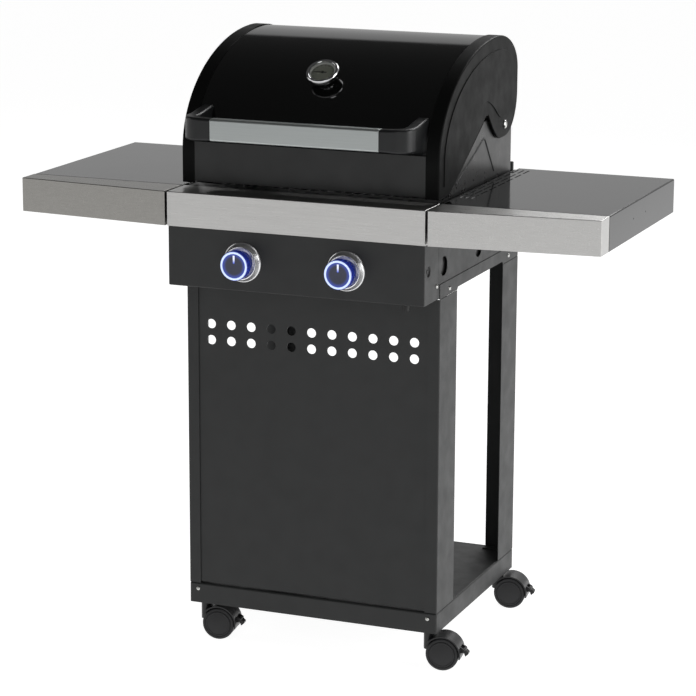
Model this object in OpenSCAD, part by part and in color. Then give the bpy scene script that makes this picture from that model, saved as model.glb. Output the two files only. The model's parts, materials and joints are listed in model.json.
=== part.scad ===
// Two-burner gas barbecue on a four-caster cart, with fixed side shelves and a rear-hinged lid.
// Millimetres, +Z up, +X to the user's left-to-right, the user stands at -Y.
// The design is laid out around the middle of the cart's base on the floor, then moved along Y so
// that the origin is under the middle of the whole object.

/* [Cart] */
// Width of the base pan and of the post frame
cart_w = 507; // [420:1:620]
// Depth of the base pan and of the post frame
cart_d = 445; // [370:1:540]
// Height of the base pan's underside above the floor
pan_z = 73.5; // [66:0.5:100]
// Height of the base pan's skirt
pan_h = 40; // [25:1:60]
// Height of the posts' tops above the floor
post_top = 713; // [560:1:800]
// Width of a post's side flange
post_side = 92; // [60:1:110]
// Width of a front post's front flange
post_front = 23.5; // [16:0.5:40]
// Width of a rear post's rear flange
post_rear = 58; // [30:1:70]
// Sheet thickness of the cart's frame
frame_t = 2; // [1.2:0.1:3]
// Diameter of a vent hole in the front panel
vent_d = 18; // [8:0.5:20]
// Number of vent holes in a row
vent_n = 11; // [5:1:13]
// Distance between vent holes along a row
vent_pitch = 40.8; // [24:0.2:44]
// Distance between the two rows of vent holes
vent_rows = 31; // [22:1:40]
// Drop from the posts' tops to the upper row of vent holes
vent_drop = 85.5; // [60:0.5:120]

/* [Casters] */
// Diameter of a caster wheel
wheel_d = 63; // [50:0.5:64]
// Half of the width over a caster's twin wheels
wheel_hw = 24; // [18:0.5:26]
// Distance from a caster's stem to its axle
trail = 29; // [20:0.5:32]
// Inset of a caster's stem from the pan's side
stem_in_x = 23.5; // [20:0.5:40]
// Inset of a caster's stem from the pan's front and rear
stem_in_y = 26; // [20:0.5:40]
// Angle that all four casters are turned to at rest
caster_turn = 8; // [-20:1:20]
// Diameter of a caster's stem
stem_d = 11; // [8:0.1:14]
// Diameter of a caster's axle
axle_d = 6; // [4:0.5:8]

/* [Console and shelves] */
// Overall width over the side shelves
overall_w = 1140; // [940:2:1380]
// Height of the shelves' tops above the floor
shelf_z = 890; // [850:1:950]
// Height of the shelves and of the bright trims
trim_h = 64; // [45:1:80]
// Overhang of the middle trim in front of the cart
console_out = 82.5; // [70:0.5:110]
// How far a shelf's front runs back from its inner to its outer end
shelf_sweep = 29; // [0:1:40]
// Depth of a shelf trim's outer end
trim_end = 46; // [35:1:60]
// Distance from the cart's rear to the shelves' rear
shelf_back = 22.5; // [0:0.5:60]
// Gap between the middle trim and a shelf trim
trim_gap = 4; // [1:0.5:8]
// Depth of the control panel's side returns
panel_side = 71.5; // [50:0.5:90]
// Distance of a knob from the middle of the control panel
knob_x = 102; // [80:1:140]
// Height of the knobs above the control panel's lower edge
knob_up = 54.5; // [45:0.5:60]
// Diameter of a knob
knob_d = 55; // [40:1:60]
// Distance from the control panel to a knob's face
knob_out = 41; // [34:0.5:48]
// Travel of a knob when it is pushed in
knob_push = 4; // [2:0.5:6]
// Diameter of a bezel ring at its foot
bezel_d = 74; // [66:1:84]

/* [Cook box and lid] */
// How far a lid end cap stands out past the cart's side
lid_over = 0.5; // [0:0.5:3]
// Distance from the cart's front to the lid's front, outwards
lid_out = 14; // [0:1:30]
// Height of the lid's top above the shelves
lid_h = 268.5; // [220:0.5:330]
// Height of the lid's lower edge above the shelves
lid_gap = 7; // [4:0.5:15]
// Width of a lid end cap's rim
rim_w = 26; // [18:1:36]
// Distance from the cart's rear to the lid's rear, inwards
lid_back = 23; // [10:0.5:60]
// Height of the satin strip along the lid's front
strip_h = 78; // [50:1:90]
// Sheet thickness of the lid
lid_t = 1.2; // [0.8:0.1:2]
// Distance from the lid's rear to the hinge bolts
hinge_in = 74.5; // [66:0.5:90]
// Height of the hinge bolts above the shelves
hinge_up = 95.5; // [85:0.5:110]
// Radius of the hinge bolts
hinge_r = 4; // [3:0.1:6]
// Height of the cooking surface below the shelves' tops
grate_drop = 10; // [5:1:30]
// Diameter of the thermometer's case
thermo_d = 62; // [50:1:76]
// Distance from the lid's side to the handle's end
handle_in = 35.5; // [34:0.5:60]
// Width of a handle elbow
elbow_w = 54; // [40:0.5:60]
// Height of the handle's bar
bar_h = 41; // [30:1:46]
// Depth of the handle's bar
bar_t = 22; // [16:1:30]
// Distance from the lid's front to the handle's front
handle_out = 71; // [55:1:85]

/* [Hidden] */

// Sides of a round face, and steps along a quarter of the lid's large curve
$fn = 48;
curve_n = 20;
// Clearances: pieces that only sit together, pieces that move past each other, shafts that turn
seat = 0.5;
move = 1;
turn = 0.08;

// Frame
cart_x = cart_w/2;
front_y = -cart_d/2;
rear_y = cart_d/2;
pan_top = pan_z + pan_h;
sheet = 1.5;
panel_bottom = post_top + 1;
panel_y = front_y - console_out + 2.5;
panel_x = cart_x - 1;
trim_y = front_y - console_out;
trim_z = shelf_z - trim_h;
trim_t = 1.2;
trim_back = front_y - 8;
vent_z = post_top - vent_drop;
screw_r = 4.5;
rail_top = post_top + 27;
rail_tab = 30;
rail_mid = post_top + 5;

// Casters
wheel_r = wheel_d/2;
stem_x = cart_x - stem_in_x;
stem_y = rear_y - stem_in_y;
hood_r = wheel_r + 4;
web_t = 9;
socket_h = pan_h - sheet;
lever_y = 7;
lever_x = trail + wheel_r + 7.5;
lever_z = wheel_r + 7;
lever_pin = 1.5;

// Cook box
cheek_t = 2;
lid_x = cart_x + lid_over;
cap_t = 1.5;
cheek_x = lid_x - cap_t - 4.5;
box_front = front_y + 26.5;
lid_front = front_y - lid_out;
lid_rear = rear_y - lid_back;
box_rear = lid_rear - 18;
box_floor = rail_top;
box_top = shelf_z - 2;
hinge_y = lid_rear - hinge_in;
hinge_z = shelf_z + hinge_up;
baffle_top = hinge_z + 30;
knob_z = panel_bottom + knob_up;
burner_r = 12;
burner_bore = 9;
grate_z = shelf_z - grate_drop;
grate_h = 12;
grate_seat = grate_z - grate_h;
runner_x = 184;
tray_x = runner_x - frame_t - move;
tray_z = box_floor - 44;
tray_h = 16;
tray_front = box_front + 16;
tray_rear = box_rear - 6;

// Lid outline, in the YZ plane
lid_top = shelf_z + lid_h;
lid_low = shelf_z + lid_gap;
crown_y = lid_rear - 117;
front_a = crown_y - lid_front;
front_z = lid_low + 59.5;
front_b = lid_top - front_z;
rear_a = lid_rear - crown_y;
rear_z = lid_top - 72.5;
rear_b = lid_top - rear_z;
rear_low = hinge_z + 57.5;
lobe_a = hinge_in;
lobe_b = rear_low - hinge_z + 24;
shell_in = 1.5;
strip_top = lid_low + strip_h;
apex = [hinge_y - 101.5, hinge_z + 29];
notch_foot = lid_front + 59;

// Handle and thermometer
handle_y = lid_front - handle_out;
bar_z = strip_top + 13;
handle_w = 2*(lid_x - handle_in);
bar_l = handle_w - 2*elbow_w;
thermo_a = 138.6;
thermo_y = crown_y + front_a*cos(thermo_a);
thermo_z = front_z + front_b*sin(thermo_a);
thermo_tilt = atan2(-cos(thermo_a)/front_a, sin(thermo_a)/front_b);
thermo_neck = 12;
thermo_h = 13;
probe_l = 55;

// Knobs, and the gas inlet at the right end of the pipe that feeds their valves
knob_face_y = panel_y - knob_out;
knob_h = 24;
knob_socket = 16;
stem_r = 4;
inlet_x = panel_x - 44.5;
inlet_r = 6.6;
inlet_l = 22;

// Shelves
shelf_x0 = cart_x + 0.5 + trim_gap;
shelf_x1 = overall_w/2;
shelf_y0 = trim_back + seat;
shelf_y1 = rear_y - shelf_back;

// The move along Y that puts the origin under the middle of the whole object
caster_reach = trail*sin(caster_turn) + hood_r*abs(sin(caster_turn)) + (wheel_hw - 1)*cos(caster_turn);
rearmost = max(rear_y, stem_y + caster_reach);
datum_y = -(knob_face_y + rearmost)/2;

black = [0.13, 0.135, 0.14];
steel = [0.68, 0.68, 0.66];
enamel = [0.05, 0.05, 0.055];

module placed() {
    translate([0, datum_y, 0]) children();
}

// A block between two opposite corners
module block(low, high) {
    translate(low) cube(high - low);
}

// A cylinder along X, Y or Z from a start point
module rod_x(start, length, r) {
    translate(start) rotate([0, 90, 0]) cylinder(h = length, r = r);
}
module rod_y(start, length, r) {
    translate(start) rotate([-90, 0, 0]) cylinder(h = length, r = r);
}
module rod_z(start, length, r) {
    translate(start) cylinder(h = length, r = r);
}

// A plate across X, cut from an outline given in the YZ plane
module plate_x(x, thickness) {
    translate([x, 0, 0]) rotate([90, 0, 90]) linear_extrude(thickness) children();
}

// Both sides of the object from one side's piece
module both_sides() {
    children();
    mirror([1, 0, 0]) children();
}

// ---- Cart ----

module base_pan() {
    color(black) difference() {
        block([-cart_x, front_y, pan_z], [cart_x, rear_y, pan_top]);
        block([-cart_x + sheet, front_y + sheet, pan_z - 1], [cart_x - sheet, rear_y - sheet, pan_top - sheet]);
        both_sides() {
            rod_y([cart_x - 18, front_y - 1, pan_top - 12], 4, 2);
            for (y = [front_y + 30, rear_y - 30])
                rod_z([cart_x - 12, y, pan_top - 3], 6, 2.5);
        }
    }
}

// An angle-section post: a flange along the cart's side and one along its front or rear
module post(side, end, end_w) {
    x = side*cart_x;
    y = end < 0 ? front_y : rear_y;
    color(black) union() {
        block([min(x, x - side*frame_t), min(y, y - end*post_side), pan_top],
              [max(x, x - side*frame_t), max(y, y - end*post_side), post_top]);
        block([min(x, x - side*end_w), min(y, y - end*frame_t), pan_top],
              [max(x, x - side*end_w), max(y, y - end*frame_t), post_top]);
        block([min(x, x - side*(end_w - 3)), min(y, y - end*30), pan_top],
              [max(x, x - side*(end_w - 3)), max(y, y - end*30), pan_top + frame_t]);
    }
}

module front_panel() {
    panel_edge = cart_x - post_front + 9;
    back = front_y + frame_t;
    foot = pan_top + frame_t + seat;
    color(black) difference() {
        union() {
            block([-panel_edge, back, foot], [panel_edge, back + 1.2, post_top - 2]);
            both_sides() block([panel_edge - 1.2, back, foot], [panel_edge, back + 12, post_top - 2]);
        }
        for (i = [0:vent_n - 1], row = [0, 1])
            rod_y([(i - (vent_n - 1)/2)*vent_pitch, back - 1, vent_z - row*vent_rows], 4, vent_d/2);
    }
}

// The long rails that cap the posts and carry the cook box
module side_rails() {
    y0 = front_y;
    y1 = rear_y - 3;
    color(black) both_sides() union() {
        difference() {
            plate_x(cart_x - frame_t, frame_t)
                polygon([[y0, post_top], [y0 + post_side, post_top], [y0 + post_side + 4, rail_mid],
                         [rear_y - post_side - 4, rail_mid], [rear_y - post_side, post_top],
                         [y1, post_top], [y1, rail_top], [y0, rail_top]]);
            for (y = [front_y + 51, rear_y - 60])
                rod_x([cart_x - 3*frame_t, y, post_top + 11], 5*frame_t, 3);
        }
        for (y = [front_y + 12, rear_y - 42])
            block([cart_x - 2*frame_t, y, post_top - rail_tab], [cart_x - frame_t, y + 30, post_top + 8]);
        block([cart_x - 22, y0 + 4, rail_top - frame_t], [cart_x - frame_t, y1, rail_top]);
    }
}

// The lower rail between the rear posts, and the round-ended bar behind the cook box
module rear_rails() {
    bar_y = lid_rear + 5;
    color(black)
        block([-cart_x + frame_t, rear_y - 7, post_top + 3], [cart_x - frame_t, rear_y - 3.5, rail_top - frame_t]);
    color(black) union() {
        block([-cart_x + 12, bar_y - 5, shelf_z - 8], [cart_x - 12, bar_y + 5, shelf_z + 11]);
        both_sides() rod_z([cart_x - 12, bar_y, shelf_z - 8], 19, 5);
        both_sides() block([cart_x - 46, box_rear, shelf_z - 8], [cart_x - 16, bar_y, shelf_z - 6]);
    }
}

// A dome-headed screw along +X, +Y or +Z
module screw(at, turn_by) {
    translate(at) rotate(turn_by) union() {
        cylinder(h = 2.4, r = screw_r);
        translate([0, 0, -6]) cylinder(h = 6, r = 1.9);
    }
}

module cart_screws() {
    color(steel) both_sides() {
        screw([cart_x, front_y + 51, post_top + 11], [0, 90, 0]);
        screw([cart_x, rear_y - 60, post_top + 11], [0, 90, 0]);
        screw([panel_x + 0.3, panel_y + panel_side - 7, panel_bottom + 26], [0, 90, 0]);
        screw([cart_x - 18, front_y, pan_top - 12], [90, 0, 0]);
    }
}

module caster_sockets() {
    color(black) for (x = [-stem_x, stem_x], y = [-stem_y, stem_y])
        difference() {
            union() {
                rod_z([x, y, pan_z], socket_h, 9);
                rod_z([x, y, pan_top - sheet - 3], 3, 15);
            }
            rod_z([x, y, pan_z - 1], socket_h - 2, stem_d/2 + turn);
        }
}

// ---- Casters ----

module at_caster(x, y) {
    translate([x, y, 0]) rotate([0, 0, caster_turn]) children();
}

module caster_fork(x, y) {
    hub = [trail, 0, wheel_r];
    color(black) at_caster(x, y) difference() {
        union() {
            rod_z([0, 0, pan_z - 14], 10 + socket_h, stem_d/2);
            rod_z([0, 0, wheel_r + 6], pan_z - wheel_r - 8, 10);
            translate([trail, web_t/2, wheel_r]) rotate([90, 0, 0]) linear_extrude(web_t)
                union() {
                    circle(r = wheel_r - 6);
                    polygon([[-trail - 9, 4], [-trail - 9, pan_z - wheel_r - 14], [-trail + 12, pan_z - wheel_r - 10],
                             [0, hood_r], [hood_r - 1, 8], [hood_r - 1, -4], [0, -8]]);
                }
            // The hood over the tops of both wheels
            translate([trail, wheel_hw - 1, wheel_r]) rotate([90, 0, 0]) linear_extrude(2*wheel_hw - 2)
                intersection() {
                    difference() {
                        circle(r = hood_r);
                        circle(r = wheel_r + 1.5);
                    }
                    polygon([[0, 0], [70, -14], [70, 70], [-20, 70], [-60, 42]]);
                }
            // Ears for the brake lever
            for (side = [-1, 1])
                hull() {
                    translate([lever_x, side*(lever_y + 2.6) + 1.5, lever_z]) rotate([90, 0, 0])
                        cylinder(h = 3, r = 3.6, $fn = 24);
                    translate([lever_x - 6, side*(lever_y + 2.6) + 1.5, lever_z + 1]) rotate([90, 0, 0])
                        cylinder(h = 3, r = 5.5, $fn = 24);
                }
        }
        translate(hub) rotate([90, 0, 0]) cylinder(h = 40, r = axle_d/2 + turn, center = true);
        translate([lever_x, 0, lever_z]) rotate([90, 0, 0]) cylinder(h = 40, r = lever_pin + turn, center = true);
        // Room for the wheels beside the web
        for (side = [-1, 1]) translate([trail, side*(web_t/2 + 20), wheel_r]) rotate([90, 0, 0])
            cylinder(h = 40, r = wheel_r + 1, center = true);
        // Room for the lever between its ears
        translate([lever_x, 0, lever_z]) rotate([90, 0, 0]) cylinder(h = 2*lever_y + 1, r = 5.4, center = true);
    }
}

module caster_wheel(x, y) {
    color(black) at_caster(x, y) translate([trail, 0, wheel_r]) union() {
        for (side = [-1, 1]) rotate([side*90, 0, 0]) translate([0, 0, web_t/2 + 0.5])
            rotate_extrude()
                polygon([[0, 0], [wheel_r - 3, 0], [wheel_r, 3], [wheel_r, wheel_hw - web_t/2 - 5],
                         [wheel_r - 4, wheel_hw - web_t/2 - 1.5], [wheel_r - 12, wheel_hw - web_t/2 - 0.5],
                         [0, wheel_hw - web_t/2 - 0.5]]);
        rotate([90, 0, 0]) cylinder(h = web_t + 4, r = axle_d/2, center = true);
    }
}

module brake_lever(x, y) {
    color(black) at_caster(x, y) translate([lever_x, 0, lever_z]) union() {
        rotate([90, 0, 0]) cylinder(h = 2*lever_y, r = 4, center = true);
        rotate([90, 0, 0]) cylinder(h = 2*lever_y + 8, r = lever_pin, center = true);
        translate([0, lever_y, 0]) rotate([90, 0, 0]) linear_extrude(2*lever_y)
            polygon([[0, 4], [9, -4], [9, -7], [3, -12], [0, -4]]);
    }
}

// ---- Console ----

module control_panel() {
    y1 = panel_y + panel_side;
    color(black) difference() {
        block([-panel_x, panel_y, panel_bottom], [panel_x, y1, trim_z - 1]);
        block([-panel_x + trim_t, panel_y + trim_t, panel_bottom + trim_t], [panel_x - trim_t, y1 + 1, trim_z]);
        block([-panel_x + 20, panel_y + 10, panel_bottom - 1], [panel_x - 20, y1 + 1, panel_bottom + 5]);
        for (side = [-1, 1]) rod_y([side*knob_x, panel_y - 1, knob_z], 5, 9);
        both_sides() {
            rod_x([panel_x - 4, panel_y + 20, knob_z + 6.5], 8, 11);
            rod_x([panel_x - 4, panel_y + panel_side - 7, panel_bottom + 26], 8, 2);
        }
    }
}

module knob_bezels() {
    color(steel) for (side = [-1, 1])
        translate([side*knob_x, panel_y, knob_z]) rotate([90, 0, 0]) rotate_extrude()
            polygon([[10, 0], [bezel_d/2, 0], [bezel_d/2, 3], [bezel_d/2 - 2, 5],
                     [knob_d/2 + 3, 13], [knob_d/2 + 1, 13], [knob_d/2 - 6, 9], [knob_d/2 - 6, 3], [10, 3]]);
}

// The knob: a dished lit body with a pointer groove in its face, hollow on the stem
module knob(side) {
    color([0.1, 0.16, 0.55]) translate([side*knob_x, knob_face_y, knob_z]) difference() {
        rotate([-90, 0, 0]) rotate_extrude()
            polygon([[0, 2], [knob_d/2 - 7, 2], [knob_d/2 - 5, 0], [knob_d/2 - 2, 0], [knob_d/2, 2],
                     [knob_d/2 + 0.4, 14], [knob_d/2 - 8, 16], [knob_d/2 - 8, knob_h], [0, knob_h]]);
        rod_y([0, knob_h - knob_socket, 0], knob_socket + 4, stem_r + turn);
        block([-1, -1, knob_d/4 - 2], [1, 3.2, knob_d/2 - 8]);
    }
}

module valve_stem(side) {
    start = knob_face_y + knob_h - knob_socket + knob_push + move;
    color(steel) rod_y([side*knob_x, start, knob_z], panel_y + 22 - start, stem_r);
}

module gas_valves() {
    color([0.72, 0.6, 0.3]) for (side = [-1, 1]) difference() {
        union() {
            rod_y([side*knob_x, panel_y + 8, knob_z], 34, 13);
            rod_y([side*knob_x, panel_y + 42, knob_z], 24, 5);
            rod_z([side*knob_x, panel_y + 25, knob_z - 24], 24, 7);
            block([side*knob_x - 19, panel_y + trim_t, knob_z - 8], [side*knob_x + 19, panel_y + 10, knob_z + 8]);
        }
        rod_y([side*knob_x, panel_y - 1, knob_z], 25, stem_r + turn);
    }
}

// The pipe that feeds both valves, with the threaded inlet at its right end, pointing down
module gas_manifold() {
    z = knob_z - 31;
    y = panel_y + 25;
    color(steel) union() {
        rod_x([-knob_x - 20, y, z], knob_x + 20 + inlet_x + 7, 7);
        rod_z([inlet_x, y, z - 16], 16, 8.5);
        rod_z([inlet_x, y, z - 16 - inlet_l], inlet_l + 1, inlet_r);
    }
}

module battery_box() {
    color(black) difference() {
        block([-34, panel_y + trim_t, knob_z - 16], [34, panel_y + 26, knob_z + 22]);
        block([-30, panel_y + 22, knob_z - 12], [30, panel_y + 27, knob_z + 18]);
    }
}

// ---- Cook box ----

module firebox() {
    x = cheek_x - cheek_t;
    color(enamel) difference() {
        union() {
            difference() {
                block([-x, box_front, box_floor], [x, box_rear, box_top]);
                block([-x + sheet, box_front + sheet, box_floor + sheet], [x - sheet, box_rear - sheet, box_top + 1]);
            }
            // Seats for the grates, and rests for the flame tamers
            for (y = [box_front + sheet - 0.5, box_rear - sheet - 9.5])
                block([-x + 1, y, grate_seat - 2], [x - 1, y + 10, grate_seat]);
            block([-x, box_rear - sheet, box_top - 1], [x, box_rear, baffle_top]);
            // Runners for the grease tray
            both_sides() {
                block([runner_x - frame_t, tray_front, tray_z - 2.5], [runner_x, tray_rear, box_floor + 0.5]);
                block([runner_x - 14, tray_front, tray_z - 2.5], [runner_x, tray_rear, tray_z - 0.5]);
            }
        }
        for (side = [-1, 1]) {
            rod_y([side*knob_x, box_front - 1, knob_z], 5, burner_r + seat);
            rod_y([side*knob_x - side*26, box_front - 1, knob_z + 6], 5, 3);
        }
        block([-40, -30, box_floor - 1], [40, 30, box_floor + 3]);
        for (i = [-3:3]) block([i*56 - 18, box_rear - 4, box_floor + 60], [i*56 + 18, box_rear + 1, box_floor + 68]);
    }
}

// A firebox side with its hinge cheek; a raised crease runs along its upper edges
module cheek_outline() {
    polygon([[front_y, rail_top], [front_y, shelf_z + 1], [notch_foot + 6, shelf_z + 1],
             [apex[0] - 2, apex[1] - 12], [apex[0] + 26, apex[1] - 8], [hinge_y - 14, hinge_z + 14],
             [box_rear, hinge_z + 14], [box_rear, rail_top]]);
}

module cheek() {
    difference() {
        plate_x(cheek_x - cheek_t, cheek_t) cheek_outline();
        rod_x([cheek_x - 10, hinge_y, hinge_z], 20, hinge_r);
        for (i = [0:2]) rod_x([cheek_x - 10, front_y + 96 + 46*i, shelf_z + 12], 20, 2);
    }
}

// The outer skin of the cook box below a shelf, with its two large holes
module side_plate() {
    holes_y = [front_y + 21.5, front_y + 210.5];
    difference() {
        block([cart_x - 2.5, panel_y + panel_side + seat, rail_top + seat], [cart_x - 1, rear_y - 23, shelf_z - 3]);
        for (y = holes_y) rod_x([cart_x - 6, y, rail_top + 31], 12, 18);
    }
}

module front_ledge() {
    slot_l = 30;
    slots = 11;
    pitch = 2*(cheek_x - 24)/slots;
    x = cheek_x - cheek_t;
    color(enamel) difference() {
        union() {
            block([-x, trim_back + seat, shelf_z - 2], [x, box_front + sheet, shelf_z]);
            block([-x, trim_back + seat, shelf_z - 14], [x, trim_back + seat + sheet, shelf_z]);
        }
        for (i = [0:slots - 1])
            translate([(i - (slots - 1)/2)*pitch, front_y + 6, shelf_z - 3])
                block([-slot_l/2, -2.5, 0], [slot_l/2, 2.5, 4]);
    }
}

module burner(side) {
    length = box_rear - 24 - (panel_y + 52);
    color(steel) difference() {
        rod_y([side*knob_x, panel_y + 52, knob_z], length, burner_r);
        rod_y([side*knob_x, panel_y + 51, knob_z], length - 2, burner_bore);
        for (i = [0:13], wall = [-1, 1])
            rod_x([side*knob_x + wall*burner_bore - 6, box_front + 40 + 20*i, knob_z + 4], 12, 1.4);
    }
}

module igniters() {
    color([0.85, 0.84, 0.8]) for (side = [-1, 1])
        union() {
            rod_y([side*(knob_x - 26), box_front - 34, knob_z + 6], 74, 3 - turn);
            rod_y([side*(knob_x - 26), box_front + 40, knob_z + 6], 14, 1.2);
        }
}

module flame_tamers() {
    half = 48;
    rise = 26;
    z = knob_z + 28;
    color([0.45, 0.45, 0.44]) for (side = [-1, 1])
        translate([side*knob_x, box_rear - sheet, z]) rotate([90, 0, 0])
            linear_extrude(box_rear - box_front - 2*sheet)
                polygon([[-half, 0], [-3, rise], [3, rise], [half, 0], [half, 2], [3, rise + 2],
                         [-3, rise + 2], [-half, 2]]);
}

module cooking_grates() {
    x0 = 2;
    x1 = cheek_x - cheek_t - sheet - 2;
    y0 = box_front + sheet + 1;
    y1 = box_rear - sheet - 1;
    bars = 11;
    bar_w = 7;
    pitch = (x1 - x0 - bar_w)/(bars - 1);
    color([0.1, 0.1, 0.1]) both_sides() union() {
        for (i = [0:bars - 1])
            block([x0 + i*pitch, y0, grate_seat], [x0 + i*pitch + bar_w, y1, grate_z]);
        for (y = [y0, (y0 + y1)/2 - 4, y1 - 8])
            block([x0, y, grate_seat + 0.5], [x1, y + 8, grate_z - 2]);
    }
}

module warming_rack() {
    x = cheek_x - cheek_t;
    z = hinge_z + 22;
    y0 = hinge_y - 175;
    y1 = hinge_y - 25;
    rods = 12;
    color(steel) union() {
        for (y = [y0, y1]) rod_x([-x + 3, y, z], 2*x - 6, 3);
        for (i = [0:rods])
            rod_y([(i/rods - 0.5)*(2*x - 40), y0, z], y1 - y0, 1.8);
        both_sides() {
            rod_y([x - 3, y0 - 3, z], y1 - y0 + 6, 3);
            rod_z([x - 3, y1 - 20, z - 70], 70, 3);
            rod_z([x - 3, y0 + 60, z - 110], 110, 3);
        }
    }
}

module grease_tray() {
    color(steel) union() {
        difference() {
            block([-tray_x, tray_front, tray_z], [tray_x, tray_rear, tray_z + tray_h]);
            block([-tray_x + 1, tray_front + 1, tray_z + 1], [tray_x - 1, tray_rear - 1, tray_z + tray_h + 1]);
            rod_z([0, 0, tray_z - 1], 4, 9);
        }
        // Pull lip at the rear, and the cup's hanger
        block([-60, tray_rear - 1, tray_z + tray_h - 1.5], [60, tray_rear + 12, tray_z + tray_h]);
        both_sides() block([40, -20, tray_z - 12], [42, 20, tray_z + 0.5]);
    }
}

module grease_cup() {
    color(steel) difference() {
        union() {
            rod_z([0, 0, tray_z - 44], 43.5, 36);
            rod_z([0, 0, tray_z - 2.5], 2, 39.5);
        }
        rod_z([0, 0, tray_z - 43], 50, 35);
    }
}

// ---- Lid ----

// The lid's outline from its front foot over the crown to its rear, drawn in by a distance
function lid_line(in, low) = concat(
    [[lid_front + in, low]],
    [for (i = [0:curve_n]) [crown_y - (front_a - in)*cos(90*i/curve_n), front_z + (front_b - in)*sin(90*i/curve_n)]],
    [for (i = [1:curve_n/2]) [crown_y + (rear_a - in)*sin(180*i/curve_n), rear_z + (rear_b - in)*cos(180*i/curve_n)]],
    [[lid_rear - in, rear_low]]);
function backwards(line) = [for (i = [len(line) - 1:-1:0]) line[i]];

// A band of even thickness that follows the lid's outline
module lid_band(outer, inner, low) {
    polygon(concat(lid_line(outer, low), backwards(lid_line(inner, low))));
}

module lid_shell() {
    x = lid_x - 12;
    color(enamel) difference() {
        plate_x(-x, 2*x) lid_band(shell_in, shell_in + lid_t, lid_low + 6);
        translate([0, thermo_y, thermo_z]) rotate([thermo_tilt, 0, 0])
            cylinder(h = 30, r = 7, center = true);
    }
}

module lid_strip() {
    x = lid_x - rim_w;
    color(black) union() {
        block([-x, lid_front, lid_low + 3], [x, lid_front + shell_in, strip_top]);
        block([-x, lid_front, lid_low + 3], [x, lid_front + 9, lid_low + 4.2]);
    }
}

// The outline of an end cap's side: the lid's outline, the hinge lobe, the notch and the foot
module cap_outline() {
    steps = 12;
    lobe = [for (i = [1:steps]) [hinge_y + lobe_a*cos(90*i/steps), rear_low - lobe_b*sin(90*i/steps)]];
    // From the lobe's foot the edge sweeps up to the notch's apex, then runs straight to the foot
    rise = apex[1] - (rear_low - lobe_b);
    run = hinge_y - 20 - (apex[0] + 6);
    sweep = [for (i = [1:steps - 1]) [hinge_y - 20 - run*i/steps, rear_low - lobe_b + rise*(1 - cos(90*i/steps))]];
    polygon(concat(lid_line(0, lid_low), lobe, sweep,
        [[apex[0] + 6, apex[1] - 1], [apex[0], apex[1] + 1], [apex[0] - 8, apex[1] - 2]],
        [[notch_foot, lid_low]]));
}

module lid_cap() {
    difference() {
        union() {
            plate_x(lid_x - cap_t, cap_t) cap_outline();
            plate_x(lid_x - rim_w, rim_w) lid_band(0, shell_in, lid_low);
        }
        rod_x([lid_x - 20, hinge_y, hinge_z], 40, hinge_r + turn);
        rod_x([lid_x - 5, lid_front + 26, lid_low + 34], 10, 1.6);
    }
}

module hinge_bolts() {
    color(steel) both_sides() union() {
        rod_x([cheek_x - cheek_t - 8, hinge_y, hinge_z], lid_x + 0.6 - cheek_x + cheek_t + 8, hinge_r);
        rod_x([lid_x + 0.5, hinge_y, hinge_z], 3.4, hinge_r + 4);
        rod_x([cheek_x + seat, hinge_y, hinge_z], lid_x - cap_t - cheek_x - 2*seat, hinge_r + 3);
        translate([cheek_x - cheek_t - 6.5, hinge_y, hinge_z]) rotate([0, 90, 0]) cylinder(h = 6, r = 7.5, $fn = 6);
    }
}

module handle_bar() {
    z0 = bar_z;
    color([0.6, 0.61, 0.61]) translate([-bar_l/2, handle_y, z0]) rotate([90, 0, 90]) linear_extrude(bar_l)
        difference() {
            polygon([[0, 4], [1.2, 1.2], [4, 0], [bar_t - 4, 0], [bar_t, 4], [bar_t, bar_h - 4],
                     [bar_t - 4, bar_h], [4, bar_h], [1.2, bar_h - 1.2], [0, bar_h - 4]]);
            translate([4, 5]) square([bar_t - 8, bar_h - 10]);
        }
}

// An elbow at each end of the bar, which flares where it meets the lid
module handle_end() {
    x0 = bar_l/2;
    x1 = handle_w/2;
    arm = 24;
    turn_y = handle_y + bar_t;
    difference() {
        union() {
            hull() {
                block([x0, handle_y + 0.5, bar_z + 0.5], [x0 + 2, turn_y - 0.5, bar_z + bar_h - 0.5]);
                rod_z([x1 - 18, handle_y + 18, bar_z], bar_h, 17.8);
            }
            hull() {
                rod_z([x1 - 18, handle_y + 18, bar_z], bar_h, 17.8);
                block([x1 - arm, lid_front - 2, strip_top + 1], [x1, lid_front + 40, bar_z + bar_h + 12]);
            }
            rod_x([x0 - 14, handle_y + bar_t/2, bar_z + bar_h/2], 16, bar_t/2 - 4.2);
        }
        plate_x(-lid_x, 2*lid_x) polygon(concat(lid_line(shell_in, lid_low), [[lid_front + 60, lid_low]]));
        // The inner side of the elbow is hollowed out to a curve
        translate([x1 - arm - 26, turn_y + 26, bar_z - 20]) cylinder(h = bar_h + 60, r = 25.5);
    }
}

module at_thermometer() {
    translate([0, thermo_y, thermo_z]) rotate([thermo_tilt, 0, 0]) children();
}

module thermometer_case() {
    r = thermo_d/2;
    color(steel) at_thermometer() difference() {
        union() {
            translate([0, 0, -1.5]) cylinder(h = thermo_neck + 2, r = 11);
            translate([0, 0, -6]) cylinder(h = 8, r = 6.9);
            translate([0, 0, -probe_l]) cylinder(h = probe_l, r = 3);
            translate([0, 0, thermo_neck]) rotate_extrude()
                polygon([[0, 0], [r - 6, 0], [r, 5], [r, thermo_h - 3], [r - 3, thermo_h], [0, thermo_h]]);
            translate([0, 0, -7 - shell_in]) cylinder(h = 4.5, r = 11, $fn = 6);
        }
        translate([0, 0, thermo_neck + thermo_h - 6]) cylinder(h = 10, r = r - 6);
    }
}

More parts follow.
